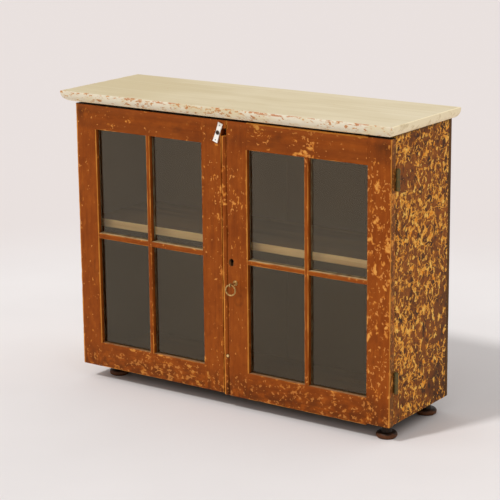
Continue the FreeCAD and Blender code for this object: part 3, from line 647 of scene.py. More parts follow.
def build_mesh(name, points, faces, values):
    """A mesh with outward normals, sharp edges only where faces turn sharply, and named vertex values."""
    mesh = bpy.data.meshes.new(name)
    mesh.from_pydata([tuple(p) for p in points], [], faces)
    for key, numbers in values.items():
        attribute = mesh.attributes.new(key, "FLOAT", "POINT")
        attribute.data.foreach_set("value", np.asarray(numbers, np.float32))
    shaped = bmesh.new()
    shaped.from_mesh(mesh)
    bmesh.ops.recalc_face_normals(shaped, faces=shaped.faces)
    for face in shaped.faces:
        face.smooth = True
    for edge in shaped.edges:
        edge.smooth = len(edge.link_faces) < 2 or edge.calc_face_angle(0.0) < SHARP_ANGLE
    shaped.to_mesh(mesh)
    shaped.free()
    return mesh


def add_piece(node, mesh, *keys):
    """Puts a mesh in the scene as the piece that stands for a CAD node, with the finishes named."""
    piece = bpy.data.objects.new("worn_" + node, mesh)
    bpy.context.scene.collection.objects.link(piece)
    for key in keys:
        mesh.materials.append(finishes[key])
    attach(piece, body_of(node))
    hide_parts(node)
    slot_of(node)


def add_part(node, parts, *keys):
    """Puts points, faces and values in the scene as the piece that stands for a CAD node."""
    add_piece(node, build_mesh(node, *parts), *keys)


def ring_faces(rings, count):
    """Faces between rings of points that follow one another, and a cap on the first and the last."""
    faces = []
    for base in range(0, (rings - 1) * count, count):
        for j in range(count):
            k = (j + 1) % count
            faces.append((base + j, base + k, base + count + k, base + count + j))
    last = (rings - 1) * count
    return faces + [tuple(range(count)), tuple(range(last, last + count))]


def share(point, scale, seed):
    """Smooth noise from 0 to 1 at a point."""
    return 0.5 + 0.5 * noise.noise(Vector(point) * scale + Vector((seed * 7.3, seed * 3.1, seed * 5.7)))


def nick(point, distance, seed):
    """How deep wear has eaten in at a point that lies some distance from an arris."""
    near = math.exp(-distance / NICK_REACH)
    soft = share(point, 90, seed)
    knock = max(0.0, share(point, 42, seed + 1) - 0.62)
    return SKIN + near * (0.1 + 0.5 * soft + 4.5 * knock) * MM


def rub_at(distance):
    """How rubbed a point is that lies some distance from an arris."""
    return math.exp(-distance / RUB_REACH)


def spotted(spots, x, z):
    """How strongly a place on the front lies within some spots."""
    total = 0.0
    for middle_x, middle_z, reach, strength in spots:
        gap = ((x - middle_x) ** 2 + (z - middle_z) ** 2) / reach ** 2
        total += strength * math.exp(-gap)
    return min(total, 1.0)


class Outline:
    """A closed section with rounded corners, given as (across, depth, radius, wear) for each corner.

    walls are the places across where the section faces into the opening, and outer is an edge to darken.
    """

    def __init__(self, corners, walls=(), outer=None):
        flat = [Vector(c[:2]) for c in corners]
        area = sum(a.x * b.y - b.x * a.y for a, b in zip(flat, flat[1:] + flat[:1]))
        if area < 0:
            corners = corners[::-1]
        self.points, self.normals, self.arrises = [], [], []
        self.walls, self.outer = walls, outer
        arcs = [self.corner_arc(corners[i - 1], corners[i], corners[(i + 1) % len(corners)])
                for i in range(len(corners))]
        for i, (points, normals, weight) in enumerate(arcs):
            middle = len(points) // 2
            for k, (point, normal) in enumerate(zip(points, normals)):
                self.store(point, normal, weight if k == middle else 0.0)
            self.straight_run(points[-1], arcs[(i + 1) % len(arcs)][0][0])
        self.spread_distances()

    def store(self, point, normal, weight):
        self.points.append(point)
        self.normals.append(normal)
        self.arrises.append(weight)

    @staticmethod
    def corner_arc(before, corner, after):
        """Points and outward normals round one corner, and its wear if it stands out."""
        here = Vector(corner[:2])
        come = (here - Vector(before[:2])).normalized()
        leave = (Vector(after[:2]) - here).normalized()
        turn = math.atan2(come.cross(leave), come.dot(leave))
        radius = corner[2]
        reach = radius * math.tan(abs(turn) / 2)
        side = 1 if turn > 0 else -1
        centre = here - come * reach + Vector((-come.y, come.x)) * radius * side
        outward = Vector((come.y, -come.x)) * side
        points, normals = [], []
        for k in range(ARC_STEPS + 1):
            swung = outward.copy()
            swung.rotate(Matrix.Rotation(turn * k / ARC_STEPS, 2))
            points.append(centre + swung * radius)
            normals.append(swung * side)
        return points, normals, corner[3] if turn > 0 else 0.0

    def straight_run(self, start, end):
        """Stores the points between two corners."""
        length = (end - start).length
        if length < 1e-9:
            return
        way = (end - start) / length
        normal = Vector((way.y, -way.x))
        for step in run_steps(length, FACE_STEP):
            self.store(start + way * step, normal, 0.0)

    def spread_distances(self):
        """Distance from each point to its nearest worn arris, along the outline, weaker arrises seeming further."""
        count = len(self.points)
        steps = [(self.points[(i + 1) % count] - self.points[i]).length for i in range(count)]
        places = np.concatenate([[0], np.cumsum(steps)])
        around = places[-1]
        self.distances = []
        for i in range(count):
            best = FAR
            for k, weight in enumerate(self.arrises):
                if weight > 0:
                    gap = abs(places[i] - places[k])
                    gap = min(gap, around - gap)
                    best = min(best, gap - RUB_REACH * math.log(weight))
            self.distances.append(best)

    def beside(self, point):
        """How far across a point lies from the nearest wall of the opening."""
        return min((abs(point.x - across) for across in self.walls), default=FAR)

    def on_outer(self, point):
        """Whether a point lies on the edge to darken."""
        return self.outer is not None and abs(point.x - self.outer) < 0.2 * MM


def run_steps(length, step):
    """Places along a straight run: close together near both ends, wider between."""
    near = [d for d in FEATHER if d < length / 2 - 0.5 * MM]
    inner = near[-1] if near else 0.0
    middle = length - 2 * inner
    count = max(1, math.ceil(middle / step))
    between = [inner + middle * k / count for k in range(1, count)]
    return near + between + [length - d for d in reversed(near)]


def end_stations(length, radius, extra=()):
    """(share of the length, offset, end inset) for the rings of a swept board, rounded at both ends."""
    rounding = [(0.0, radius), (0.3 * radius, 0.29 * radius), (radius, 0.0)]
    low = [(0.0, t, inset) for t, inset in rounding]
    high = [(1.0, -t, inset) for t, inset in reversed(rounding)]
    middle = [t for t in run_steps(length, STATION_STEP) if 2 * radius < t < length - 2 * radius]
    return low + [(t / length, 0.0, 0.0) for t in sorted(middle + list(extra))] + high


def sweep(outline, start, end, place, seed, cope=None, extra=(), widen=None, radius=ARRIS_ROUND, open_run=None):
    """Points, faces and values of a worn board: an outline run from start to end, its ends coped if asked.

    Outside open_run the section's walls are joined to another board, so they don't wear there.
    """
    points, values = [], {key: [] for key in ("wear", "reveal", "ledge", "edge")}
    cope_start, cope_end = cope or (no_cope, no_cope)
    stations = end_stations(end - start, radius, extra)
    for part, offset, inset in stations:
        for p, n, distance in zip(outline.points, outline.normals, outline.distances):
            first, last = start + cope_start(p.y), end - cope_end(p.y)
            s = first + part * (last - first) + offset
            shift = widen(p, s) if widen else 0.0
            rest = place(p.x + shift, p.y, s)
            to_end = FAR if cope else max(0.0, min(s - first, last - s))
            beside = outline.beside(p)
            if open_run and beside < JOINT_REACH and not open_run[0] < s < open_run[1]:
                distance = FAR
            depth = inset + nick(rest, min(distance, to_end + 1 * MM), seed)
            q = p - n * depth
            points.append(place(q.x + shift, q.y, s))
            behind = (p.y - front_plane - CHAMFER_DEPTH) / (GLASS_DEPTH - CHAMFER_DEPTH)
            inside = beside < 0.3 * MM and -0.01 < behind < 1.01
            values["wear"].append(max(rub_at(distance), 0.8 * rub_at(to_end)))
            values["reveal"].append(max(0.0, behind) if inside else 0.0)
            values["ledge"].append(float(inside and place is level and n.x > 0.5))
            values["edge"].append(float(outline.on_outer(p)))
    # top edges that get painted shade under the top board
    values["soot"] = [float(sooty(p)) for p in points]
    values["flaked"] = [spotted(FLAKED_SPOTS, p[0], p[2]) for p in points]
    values["smudge"] = [spotted(SMUDGE_AND_SHADE_SPOTS, p[0], p[2]) for p in points]
    return points, ring_faces(len(stations), len(outline.points)), values


def joined(*parts):
    """Several swept parts as one set of points, faces and values."""
    points, faces, values = [], [], {}
    for part_points, part_faces, part_values in parts:
        shift = len(points)
        points += part_points
        faces += [tuple(i + shift for i in face) for face in part_faces]
        for key, numbers in part_values.items():
            values.setdefault(key, []).extend(numbers)
    return points, faces, values


front_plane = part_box("left_door_hinge_stile")[0].y
door_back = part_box("left_door_hinge_stile")[1].y
top_shade_limits = {name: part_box(name + "_hinge_stile")[1].z - band for name, band in TOP_SHADE_BANDS.items()}
right_door_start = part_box("right_door_meeting_stile")[0].x


def sooty(p):
    """Whether a point lies on the top edge of its door, painted dark as the shade in the gap under the top board.
    """
    return p[2] > top_shade_limits["right_door" if p[0] > right_door_start else "left_door"]


def glass_side(arris, inward, wall, arris_wear, back_wear):
    """Corners of a section from its arris, eased towards the glass, to the back of its glazing rebate."""
    lip = arris + inward * CHAMFER_W
    glass_y = front_plane + GLASS_DEPTH
    return [
        (arris, front_plane, 0.8 * MM, arris_wear),
        (lip, front_plane + CHAMFER_DEPTH, 1.2 * MM, 0.6),
        (lip, glass_y, 0.2 * MM, 0.0),
        (wall, glass_y, 0.2 * MM, 0.0),
        (wall, door_back, 0.6 * MM, back_wear),
    ]


def edge_outline(outer, arris, inward, outer_wear, arris_wear, shaded):
    """Section of a stile or rail, with its outer edge darkened if asked."""
    corners = [(outer, front_plane, 1.6 * MM, outer_wear)]
    corners += glass_side(arris, inward, arris - inward * REBATE_W, arris_wear, 0.6)
    corners.append((outer, door_back, 1.4 * MM, 0.8))
    return Outline(corners, [arris + inward * CHAMFER_W], outer if shaded else None)


def bar_outline(centre, face_w):
    """Section of a glazing bar, worn along both its arrises."""
    left, right = [
        glass_side(centre + side * face_w / 2, side, centre + side * TONGUE_W / 2, BAR_ARRIS_WEAR, 0.7)
        for side in (-1, 1)]
    lip = face_w / 2 + CHAMFER_W
    return Outline(right + left[::-1], [centre - lip, centre + lip])


def scribe(depth_y):
    """How far a coped end stands back from the arris that it meets, at a depth."""
    depth = depth_y - front_plane
    if depth <= GLASS_DEPTH + 0.05 * MM:
        return CHAMFER_W * min(1.0, max(0.0, depth / CHAMFER_DEPTH))
    return -REBATE_W


def tongue_cope(depth_y):
    """Coping against a glazing bar, whose tongue stands behind the glass."""
    if depth_y - front_plane <= GLASS_DEPTH + 0.05 * MM:
        return scribe(depth_y)
    return -(BAR_FACE_W - TONGUE_W) / 2


def no_cope(depth_y):
    """An end cut square."""
    return 0.0


def upright(across, depth, s):
    """A point of a board that runs up."""
    return (across, depth, s)


def level(across, depth, s):
    """A point of a board that runs to the right."""
    return (s, depth, across)


def keyhole_cutter():
    """The key's way: a round hole over a slot, run through the stile."""
    x, z = KEYHOLE_CENTRE
    half = KEYHOLE_SLOT_W / 2
    open_angle = math.asin(half / KEYHOLE_R)
    ring = [(x + half, z - KEYHOLE_SLOT_L)]
    for k in range(KEYHOLE_STEPS + 1):
        angle = -math.pi / 2 + open_angle + (2 * math.pi - 2 * open_angle) * k / KEYHOLE_STEPS
        ring.append((x + KEYHOLE_R * math.cos(angle), z + KEYHOLE_R * math.sin(angle)))
    ring.append((x - half, z - KEYHOLE_SLOT_L))
    points = [(a, y, b) for y in (front_plane - 2 * MM, door_back + 2 * MM) for a, b in ring]
    return build_mesh("keyhole_cutter", points, ring_faces(2, len(ring)), {})


def cut_through(mesh, cutter):
    """The mesh with the cutter's shape taken out of it, and the walls of the hole marked for painted shade."""
    scene = bpy.context.scene
    body = bpy.data.objects.new("cut_body", mesh)
    tool = bpy.data.objects.new("cut_tool", cutter)
    for thing in (body, tool):
        scene.collection.objects.link(thing)
    modifier = body.modifiers.new("cut", "BOOLEAN")
    modifier.object = tool
    modifier.operation = "DIFFERENCE"
    bpy.context.view_layer.update()
    graph = bpy.context.evaluated_depsgraph_get()
    result = bpy.data.meshes.new_from_object(body.evaluated_get(graph))
    result.materials.clear()
    result.polygons.foreach_set("material_index", np.zeros(len(result.polygons), np.int32))
    for thing in (body, tool):
        bpy.data.objects.remove(thing)
    low = Vector(min(v.co[k] for v in cutter.vertices) - 0.1 * MM for k in range(3))
    high = Vector(max(v.co[k] for v in cutter.vertices) + 0.1 * MM for k in range(3))
    # the walls of the hole get painted shade
    soot = result.attributes["soot"].data
    for v in result.vertices:
        if all(low[k] < v.co[k] < high[k] for k in (0, 2)) and v.co.y > front_plane + 5 * MM:
            soot[v.index].value = 1.0
    return result


class Door:
    """Limits of a door's parts, read from its nodes in the frame."""

    def __init__(self, name, side):
        self.name, self.side = name, side
        hinge_low, hinge_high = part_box(name + "_hinge_stile")
        meet_low, meet_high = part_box(name + "_meeting_stile")
        self.bottom, self.top = hinge_low.z, hinge_high.z
        if side > 0:
            self.hinge_edge, self.hinge_arris = hinge_high.x, hinge_low.x + CHAMFER_W
            self.meeting_edge, self.meeting_arris = meet_low.x, meet_high.x - CHAMFER_W
        else:
            self.hinge_edge, self.hinge_arris = hinge_low.x, hinge_high.x - CHAMFER_W
            self.meeting_edge, self.meeting_arris = meet_high.x - LIP_W, meet_low.x + CHAMFER_W
        self.left = min(self.hinge_arris, self.meeting_arris)
        self.right = max(self.hinge_arris, self.meeting_arris)
        self.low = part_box(name + "_bottom_rail")[1].z - CHAMFER_W
        self.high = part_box(name + "_top_rail")[0].z + CHAMFER_W
        bar_low, bar_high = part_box(name + "_vertical_bar")
        self.bar_x = (bar_low.x + bar_high.x) / 2
        cross_low, cross_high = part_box(name + "_horizontal_bar")
        self.bar_z = (cross_low.z + cross_high.z) / 2
        self.cross_face = cross_high.z - cross_low.z - 2 * CHAMFER_W


def stile_parts(door, edge, arris, seed, outer_wear, shaded=False, extra=(), widen=None, heel=0.0):
    """Points, faces and values of a stile, joined to the rails below and above the glass."""
    inward, arris_wear = (1, LEFT_STILE_ARRIS_WEAR) if arris < door.bar_x else (-1, RIGHT_STILE_ARRIS_WEAR)
    section = edge_outline(edge, arris, inward, outer_wear, arris_wear, shaded)
    foot = door.bottom + heel
    joints = [z + gap - foot for z in (door.low, door.high) for gap in (-0.5 * MM, 0.5 * MM)]
    return sweep(section, foot, door.top, upright, seed, extra=joints + list(extra), widen=widen,
                 open_run=(door.low, door.high))


def dress_hinge_stile(door, seed):
    """The stile that carries the hinges, short at its heel on the right door."""
    heel = WORN_HEEL if door.side > 0 else 0.0
    parts = stile_parts(door, door.hinge_edge, door.hinge_arris, seed, HINGE_WEAR[door.name], True, heel=heel)
    add_part(door.name + "_hinge_stile", parts, "door_paint_Z")


def dress_meeting_stile(door, seed):
    """The stile at the meeting edge: the left one with a lip at its top, the right one with the keyhole."""
    node = door.name + "_meeting_stile"
    edge, arris, wear = door.meeting_edge, door.meeting_arris, MEETING_WEAR[door.name]
    if door.side < 0:
        def widen(p, s):
            return LIP_W if abs(p.x - edge) < LIP_REACH and s > LIP_BOTTOM else 0.0

        steps = [LIP_BOTTOM - door.bottom + gap for gap in (-0.1 * MM, 0.1 * MM)]
        mesh = build_mesh(node, *stile_parts(door, edge, arris, seed, wear, extra=steps, widen=widen))
    else:
        points, faces, values = stile_parts(door, edge, arris, seed, wear)
        covered = [p[2] < LIP_BOTTOM and abs(p[0] - edge) < BEAD_COVER_W for p in points]
        values["wear"] = [COVERED_WEAR * w if under else w for w, under in zip(values["wear"], covered)]
        mesh = cut_through(build_mesh(node, points, faces, values), keyhole_cutter())
    add_piece(node, mesh, "door_paint_Z")


def dress_rails(door, seed):
    """The rails above and below the glass."""
    rails = (("_top_rail", door.top, door.high, -1, TOP_RAIL_WEAR[door.name]),
             ("_bottom_rail", door.bottom, door.low, 1, BOTTOM_RAIL_WEAR))
    for ending, edge, arris, inward, outer_wear in rails:
        section = edge_outline(edge, arris, inward, outer_wear, RAIL_ARRIS_WEAR, True)
        parts = sweep(section, door.left, door.right, level, seed + inward, cope=(scribe, scribe),
                      radius=RAIL_END_ROUND)
        add_part(door.name + ending, parts, "door_paint_X")


def dress_bars(door, seed):
    """The upright glazing bar, and the level one in two halves beside it."""
    def bar(section, start, end, place, step, cope):
        return sweep(section, start, end, place, seed + step, cope=cope, radius=BAR_END_ROUND)

    section = bar_outline(door.bar_x, BAR_FACE_W)
    parts = bar(section, door.low, door.high, upright, 0, (scribe, scribe))
    add_part(door.name + "_vertical_bar", parts, "door_paint_Z")

    section = bar_outline(door.bar_z, door.cross_face)
    half = BAR_FACE_W / 2
    points, faces, values = joined(
        bar(section, door.left, door.bar_x - half, level, 1, (scribe, tongue_cope)),
        bar(section, door.bar_x + half, door.right, level, 2, (tongue_cope, scribe)))
    values["pale"] = [1.0] * len(points)
    add_part(door.name + "_horizontal_bar", (points, faces, values), "door_paint_X")


def dress_door(door):
    """Stiles, rails and bars of one door."""
    seed = SEEDS[door.name]
    dress_hinge_stile(door, seed + 1)
    dress_meeting_stile(door, seed + 2)
    dress_rails(door, seed + 3)
    dress_bars(door, seed + 6)


def quirk_at(z):
    """How dark the groove beside the meeting bead is painted, as shade with some grime: faint over most of its
    height, black near the foot.
    """
    low_part = min(1.0, max(0.0, (0.1 - z) / 0.05))
    return 0.15 + 0.65 * low_part


def bead_rub(z):
    """Share of the bead's wear left at a height: less over the middle of the upper panes."""
    return 1.0 - 0.7 * math.exp(-((z - 0.55) / 0.11) ** 2)


def dress_bead():
    """The rounded strip on the right door's meeting edge."""
    low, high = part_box("right_door_meeting_bead")
    left_round, right_round = BEAD_ROUNDS
    section = Outline([
        (low.x, low.y, left_round, BEAD_WEAR),
        (high.x, low.y, right_round, 0.0),
        (high.x, high.y, 0.5 * MM, 0.0),
        (low.x, high.y, 0.8 * MM, 0.5),
    ])
    points, faces, values = sweep(section, low.z, high.z, upright, SEEDS["bead"])
    values["wear"] = [w * bead_rub(p[2]) for w, p in zip(values["wear"], points)]
    crest = high.x - right_round
    slope = 0.6 * right_round
    # painted shade in the groove on the bead's right side
    values["quirk"] = [quirk_at(p[2]) * min(1.0, max(0.0, (p[0] - crest) / slope)) for p in points]
    add_part("right_door_meeting_bead", (points, faces, values), "door_paint_Z")


def axis_steps(low, high, radius):
    """Places along one side of a board, crowded towards its arrises."""
    length = high - low
    edge = [0.0, 0.35 * radius, radius]
    inner = [radius + t for t in run_steps(length - 2 * radius, FACE_STEP)]
    return [low + t for t in edge + inner + [length - t for t in reversed(edge)]]


def worn_board(low, high, radius, seed, tone, inside):
    """A board between two corners with rounded, knocked arrises. Faces on the inside take a second finish."""
    steps = [axis_steps(low[k], high[k], radius) for k in range(3)]
    last = [len(s) - 1 for s in steps]
    index, points, rub, faces, second = {}, [], [], [], []

    def vertex(key):
        if key in index:
            return index[key]
        p = Vector(steps[k][key[k]] for k in range(3))
        core = Vector(min(max(p[k], low[k] + radius), high[k] - radius) for k in range(3))
        out = (p - core).normalized()
        gaps = sorted(min(p[k] - low[k], high[k] - p[k]) for k in range(3))
        index[key] = len(points)
        points.append(core + out * (radius - nick(p, gaps[1], seed)))
        rub.append(rub_at(gaps[1]))
        return index[key]

    for axis, u, v in ((0, 1, 2), (1, 0, 2), (2, 0, 1)):
        for side, i, j in product((0, last[axis]), range(last[u]), range(last[v])):
            ring = []
            for a, b in ((i, j), (i + 1, j), (i + 1, j + 1), (i, j + 1)):
                key = [side] * 3
                key[u], key[v] = a, b
                ring.append(vertex(tuple(key)))
            faces.append(tuple(ring))
            second.append(inside == (axis, side > 0))
    values = {"wear": rub, "tone": [tone] * len(points)}
    return points, faces, values, second


def dress_board(node, keys, inside, radius, seed, tone=0.0, limits=None):
    """A worn board in place of a node, or between other limits, its inside face in the second finish named."""
    low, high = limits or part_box(node)
    points, faces, values, second = worn_board(low, high, radius, seed, tone, inside)
    mesh = build_mesh(node, points, faces, values)
    add_piece(node, mesh, *keys)
    mesh.polygons.foreach_set("material_index", np.array(second, np.int32))


def dress_carcass():
    """Sides, shelf, bottom, top rails and back boards."""
    left_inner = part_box("left_side")[1].x
    right_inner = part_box("right_side")[0].x
    for step, (node, inside) in enumerate((("left_side", (0, True)), ("right_side", (0, False)))):
        dress_board(node, ("side_paint", "inner_wood"), inside, SIDE_ROUND, SEEDS["sides"] + step)
    front = (1, False)
    for step, node in enumerate(("shelf", "bottom_board", "front_top_rail", "rear_top_rail")):
        low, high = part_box(node)
        low.x, high.x = left_inner, right_inner
        named = ("bare_wood", "pale_edge" if node == "shelf" else "bare_wood")
        dress_board(node, named, front, INNER_ROUND, SEEDS["inner"] + step, 0.25 * step, (low, high))
    for number in range(1, BACK_BOARDS + 1):
        node = "back_board_" + str(number)
        low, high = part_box(node)
        low.x -= BACK_LAP if number > 1 else 0.0
        high.x += BACK_LAP if number < BACK_BOARDS else 0.0
        dress_board(node, ("back_wood", "inner_wood"), front, BACK_ROUND, SEEDS["back"] + number,
                    0.3 * (number % 3), (low, high))


def plan_ring(low, high, inset, corner):
    """Points round the top in plan, with front corners rounded, and each point's outward normal."""
    left, right = low.x + inset, high.x - inset
    front, back = low.y + inset, high.y - max(0.0, inset - TOP_UNDER_ROUND)
    corner = max(corner, 0.5 * MM)
    ring = []

    def side(start, end, normal, full):
        for t in [0.0] + run_steps(full, STATION_STEP):
            ring.append((Vector(start).lerp(Vector(end), t / full), Vector(normal)))

    def bend(centre, start_angle):
        for k in range(ARC_STEPS + 1):
            angle = start_angle + math.pi / 2 * k / ARC_STEPS
            normal = Vector((math.cos(angle), math.sin(angle)))
            ring.append((Vector(centre) + normal * corner, normal))

    width, depth = high.x - low.x, high.y - low.y
    side((left, back), (left, front + corner), (-1, 0), depth)
    bend((left + corner, front + corner), math.pi)
    side((left + corner, front), (right - corner, front), (0, -1), width)
    bend((right - corner, front + corner), 1.5 * math.pi)
    side((right, front + corner), (right, back), (1, 0), depth)
    side((right, back), (left, back), (0, 1), width)
    return ring


def broken_run(x):
    """How broken the paint is along the top's front arris: most over two stretches."""
    return 1.0 if any(start < x < end for start, end in BROKEN_RUNS) else 0.45


def top_levels(low, high):
    """(inset, height) of the rings of the top board: from below, round its moulding, in over its surface."""
    levels = [(TOP_UNDER_INSET, low.z)]
    for k in range(TOP_UNDER_STEPS + 1):
        angle = math.pi / 2 * k / TOP_UNDER_STEPS
        levels.append((TOP_UNDER_ROUND * (1 - math.sin(angle)), low.z + TOP_UNDER_ROUND * (1 - math.cos(angle))))
    levels.append((0.0, (low.z + TOP_UNDER_ROUND + high.z - TOP_ARRIS_ROUND) / 2))
    for k in range(ARC_STEPS + 1):
        angle = math.pi / 2 * k / ARC_STEPS
        levels.append((TOP_ARRIS_ROUND * (1 - math.cos(angle)), high.z - TOP_ARRIS_ROUND * (1 - math.sin(angle))))
    return levels + [(TOP_ARRIS_ROUND + t, high.z) for t in (*FEATHER, 30 * MM, 60 * MM)]


def dress_top():
    """The overhanging top board, rounded underneath, with a knocked and chipped rim."""
    low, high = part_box("top_board")
    levels = top_levels(low, high)
    arris = high.z - TOP_ARRIS_ROUND / 2
    moulded = low.z + TOP_UNDER_ROUND
    points, values = [], {key: [] for key in ("wear", "rim", "under", "crack")}
    for inset, z in levels:
        ring = plan_ring(low, high, inset, TOP_CORNER_ROUND - 0.1 * inset)
        for place, normal in ring:
            p = Vector((place.x, place.y, z))
            reach = abs(z - arris) + max(0.0, inset - TOP_ARRIS_ROUND)
            depth = 0.0 if normal.y > 0.5 else nick(p, reach, SEEDS["top"])
            points.append(p - Vector((normal.x, normal.y, 0.35)) * depth)
            in_front = normal.y < -0.5
            chipped = 1.0 if in_front or place.x < low.x + CHIPPED_END_W else 0.25
            if z < high.z - TOP_ARRIS_ROUND:
                upright_part = 1.0 - 0.45 * inset / TOP_UNDER_ROUND
            else:
                upright_part = 1.0 if inset < TOP_ARRIS_ROUND + 2 * MM else 0.0
            right_end = normal.x > 0.5 and upright_part > 0.0
            # share of painted light on the under-round, more the lower it lies
            shaded = min(1.0, max(0.0, (moulded - z) / TOP_UNDER_ROUND))
            at_arris = in_front and z > moulded - 1 * MM and inset < TOP_ARRIS_ROUND + 1 * MM
            values["wear"].append(rub_at(reach))
            values["rim"].append(chipped * upright_part if z > low.z + 1 * MM else 0.0)
            # the right end face is wholly painted light
            values["under"].append(1.0 if right_end else shaded)
            values["crack"].append(broken_run(place.x) if at_arris else 0.0)
    add_part("top_board", (points, ring_faces(len(levels), len(ring)), values), "cream_paint")


def foot_profile(outer):
    """(radius, height, rub) up a turned foot: a rounded disc, a hollow neck and a collar; rub is scuffing and
    painted light, highest a little below the middle of the disc.
    """
    sag = outer - FOOT_BASE_R
    bulge = (sag ** 2 + (FOOT_DISC_H / 2) ** 2) / (2 * sag)
    profile = []
    for k in range(FOOT_DISC_STEPS + 1):
        z = FOOT_DISC_H * k / FOOT_DISC_STEPS
        reach = outer - bulge + math.sqrt(bulge ** 2 - (z - FOOT_DISC_H / 2) ** 2)
        profile.append((reach, z, 1.0 - abs(z - 0.4 * FOOT_DISC_H) / FOOT_DISC_H))
    neck_h = FOOT_H - FOOT_COLLAR_H - FOOT_DISC_H
    hollow = (FOOT_COLLAR_R + FOOT_SHOULDER_R) / 2 - FOOT_WAIST_R
    for k in range(FOOT_NECK_STEPS + 1):
        up = k / FOOT_NECK_STEPS
        waist = FOOT_SHOULDER_R * (1 - up) + FOOT_COLLAR_R * up - hollow * math.sin(math.pi * up)
        profile.append((waist, FOOT_DISC_H + neck_h * up, 0.1))
    return profile + [(FOOT_COLLAR_R, FOOT_H - FOOT_COLLAR_H + 1 * MM, 0.2), (FOOT_COLLAR_R, FOOT_H, 0.1)]


def dress_foot(node, seed):
    """A turned foot, a little out of round, with a rim scuffed and painted lighter."""
    low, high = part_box(node)
    centre = (low + high) / 2
    profile = foot_profile((high.x - low.x) / 2)
    points, rub = [], []
    for reach, z, rubbed in profile:
        for k in range(FOOT_AROUND):
            angle = 2 * math.pi * k / FOOT_AROUND
            way = Vector((math.cos(angle), math.sin(angle), 0))
            p = Vector((centre.x, centre.y, z)) + way * reach
            dent = 0.5 * MM * share(p, 60, seed) + 1.2 * MM * max(0.0, share(p, 45, seed + 3) - 0.65) * rubbed
            points.append(p - way * dent)
            rub.append(rubbed)
    add_part(node, (points, ring_faces(len(profile), FOOT_AROUND), {"wear": rub}), "foot_wood")


def dress_pane(node, seed):
    """A pane of old glass whose faces ripple slightly."""
    low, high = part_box(node)
    wide = PANE_COLUMNS + 1
    layer = wide * (PANE_ROWS + 1)
    points, faces = [], []
    for y, sign in ((low.y, 1), (high.y, -1)):
        for k in range(layer):
            i, j = divmod(k, wide)
            x = low.x + (high.x - low.x) * j / PANE_COLUMNS
            p = Vector((x, y, low.z + (high.z - low.z) * i / PANE_ROWS))
            p.y += sign * PANE_RIPPLE * share(p, 7, seed + sign)
            points.append(p)
    for base, i, j in product((0, layer), range(PANE_ROWS), range(PANE_COLUMNS)):
        a = base + i * wide + j
        faces.append((a, a + 1, a + wide + 1, a + wide))
    rim = list(range(wide)) + [i * wide + PANE_COLUMNS for i in range(1, PANE_ROWS + 1)]
    rim += [PANE_ROWS * wide + j for j in range(PANE_COLUMNS - 1, -1, -1)]
    rim += [i * wide for i in range(PANE_ROWS - 1, 0, -1)]
    for a, b in zip(rim, rim[1:] + rim[:1]):
        faces.append((a, b, b + layer, a + layer))
    add_part(node, (points, faces, {}), "glass")


def dress_fittings():
    """Finishes for the CAD pieces that keep their own shape."""
    for row in frame["record"]["subparts"]:
        node, slot = row["node"], row["material_slot"]
        piece = frame["nodes"][node]
        if piece.hide_render:
            continue
        key = "hinge_iron" if "leaf" in node or node == "hinge_pins" else slot
        piece.data.materials.clear()
        piece.data.materials.append(finishes[key])


def dress_all():
    """Every piece of the cupboard."""
    left, right = Door("left_door", -1), Door("right_door", 1)
    dress_door(left)
    dress_door(right)
    dress_bead()
    dress_carcass()
    dress_top()
    for step, place in enumerate(("front_left", "front_right", "rear_left", "rear_right")):
        dress_foot("foot_" + place, SEEDS["feet"] + step)
    for door in (left, right):
        for step, place in enumerate(("upper_left", "upper_right", "lower_left", "lower_right")):
            dress_pane(door.name + "_" + place + "_pane", SEEDS["panes"] + 4 * door.side + step)
    dress_fittings()


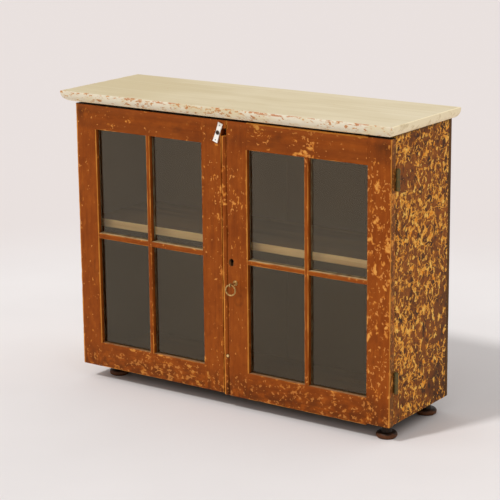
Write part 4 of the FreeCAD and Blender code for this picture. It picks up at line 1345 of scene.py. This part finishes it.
def add_floor():
    """A wide pale floor, seamless to the edge of the picture, with a painted shadow under the cupboard."""
    f = Finish("pale_floor")
    cloud = f.noise(1.3, 3)
    beside = f.mix(f.ramp(cloud, 0.3, 0.7), srgb(235, 231, 230), srgb(239, 235, 234))
    f.colour = f.mix(f.near((0, -0.3, 0), 2.4), srgb(231, 224, 222), beside)
    across = f.math("ABSOLUTE", f.coordinate("X"))
    depth = f.coordinate("Y")
    # painted shadow on the floor under the cupboard, between its front and back
    between = f.times(f.ramp(depth, -0.09, -0.03), f.ramp(depth, 0.16, 0.1))
    f.tint(f.times(between, f.ramp(across, 0.47, 0.42)), 0.6, 60, 54, 52)
    f.dull(0.1)
    angles = [2 * math.pi * k / FLOOR_STEPS for k in range(FLOOR_STEPS)]
    mesh = bpy.data.meshes.new("floor")
    mesh.from_pydata([(FLOOR_R * math.cos(a), FLOOR_R * math.sin(a), 0.0) for a in angles], [],
                     [tuple(range(FLOOR_STEPS))])
    mesh.materials.append(f.done(0.9, cloud, 0.1 * MM))
    floor = bpy.data.objects.new("floor", mesh)
    bpy.context.scene.collection.objects.link(floor)


def add_light():
    """Even pale surroundings and one broad soft light from the upper left, ahead of the cupboard."""
    world = bpy.data.worlds.new("studio")
    bpy.context.scene.world = world
    world.use_nodes = True
    background = world.node_tree.nodes["Background"]
    background.inputs["Color"].default_value = srgb(240, 238, 237)
    background.inputs["Strength"].default_value = WORLD_STRENGTH
    sun = bpy.data.lights.new("soft_light", "SUN")
    sun.energy = SUN_ENERGY
    sun.angle = SUN_ANGLE
    lamp = bpy.data.objects.new("soft_light", sun)
    lamp.rotation_euler = Vector(SUN_WAY).to_track_quat("-Z", "Y").to_euler()
    bpy.context.scene.collection.objects.link(lamp)


def add_camera():
    """The camera of the photograph: turned by its azimuth, then its pitch, then its roll."""
    data = bpy.data.cameras.new("camera")
    data.lens = CAMERA_LENS
    data.sensor_width = CAMERA_SENSOR
    camera = bpy.data.objects.new("camera", data)
    camera.matrix_world = (Matrix.Translation(CAMERA_PLACE) @ Matrix.Rotation(CAMERA_AZIMUTH, 4, "Z")
                           @ Matrix.Rotation(math.pi / 2 - CAMERA_PITCH, 4, "X")
                           @ Matrix.Rotation(CAMERA_ROLL, 4, "Z"))
    bpy.context.scene.collection.objects.link(camera)
    bpy.context.scene.camera = camera


dress_all()
add_floor()
add_light()
add_camera()
bpy.context.scene.view_settings.view_transform = "Standard"
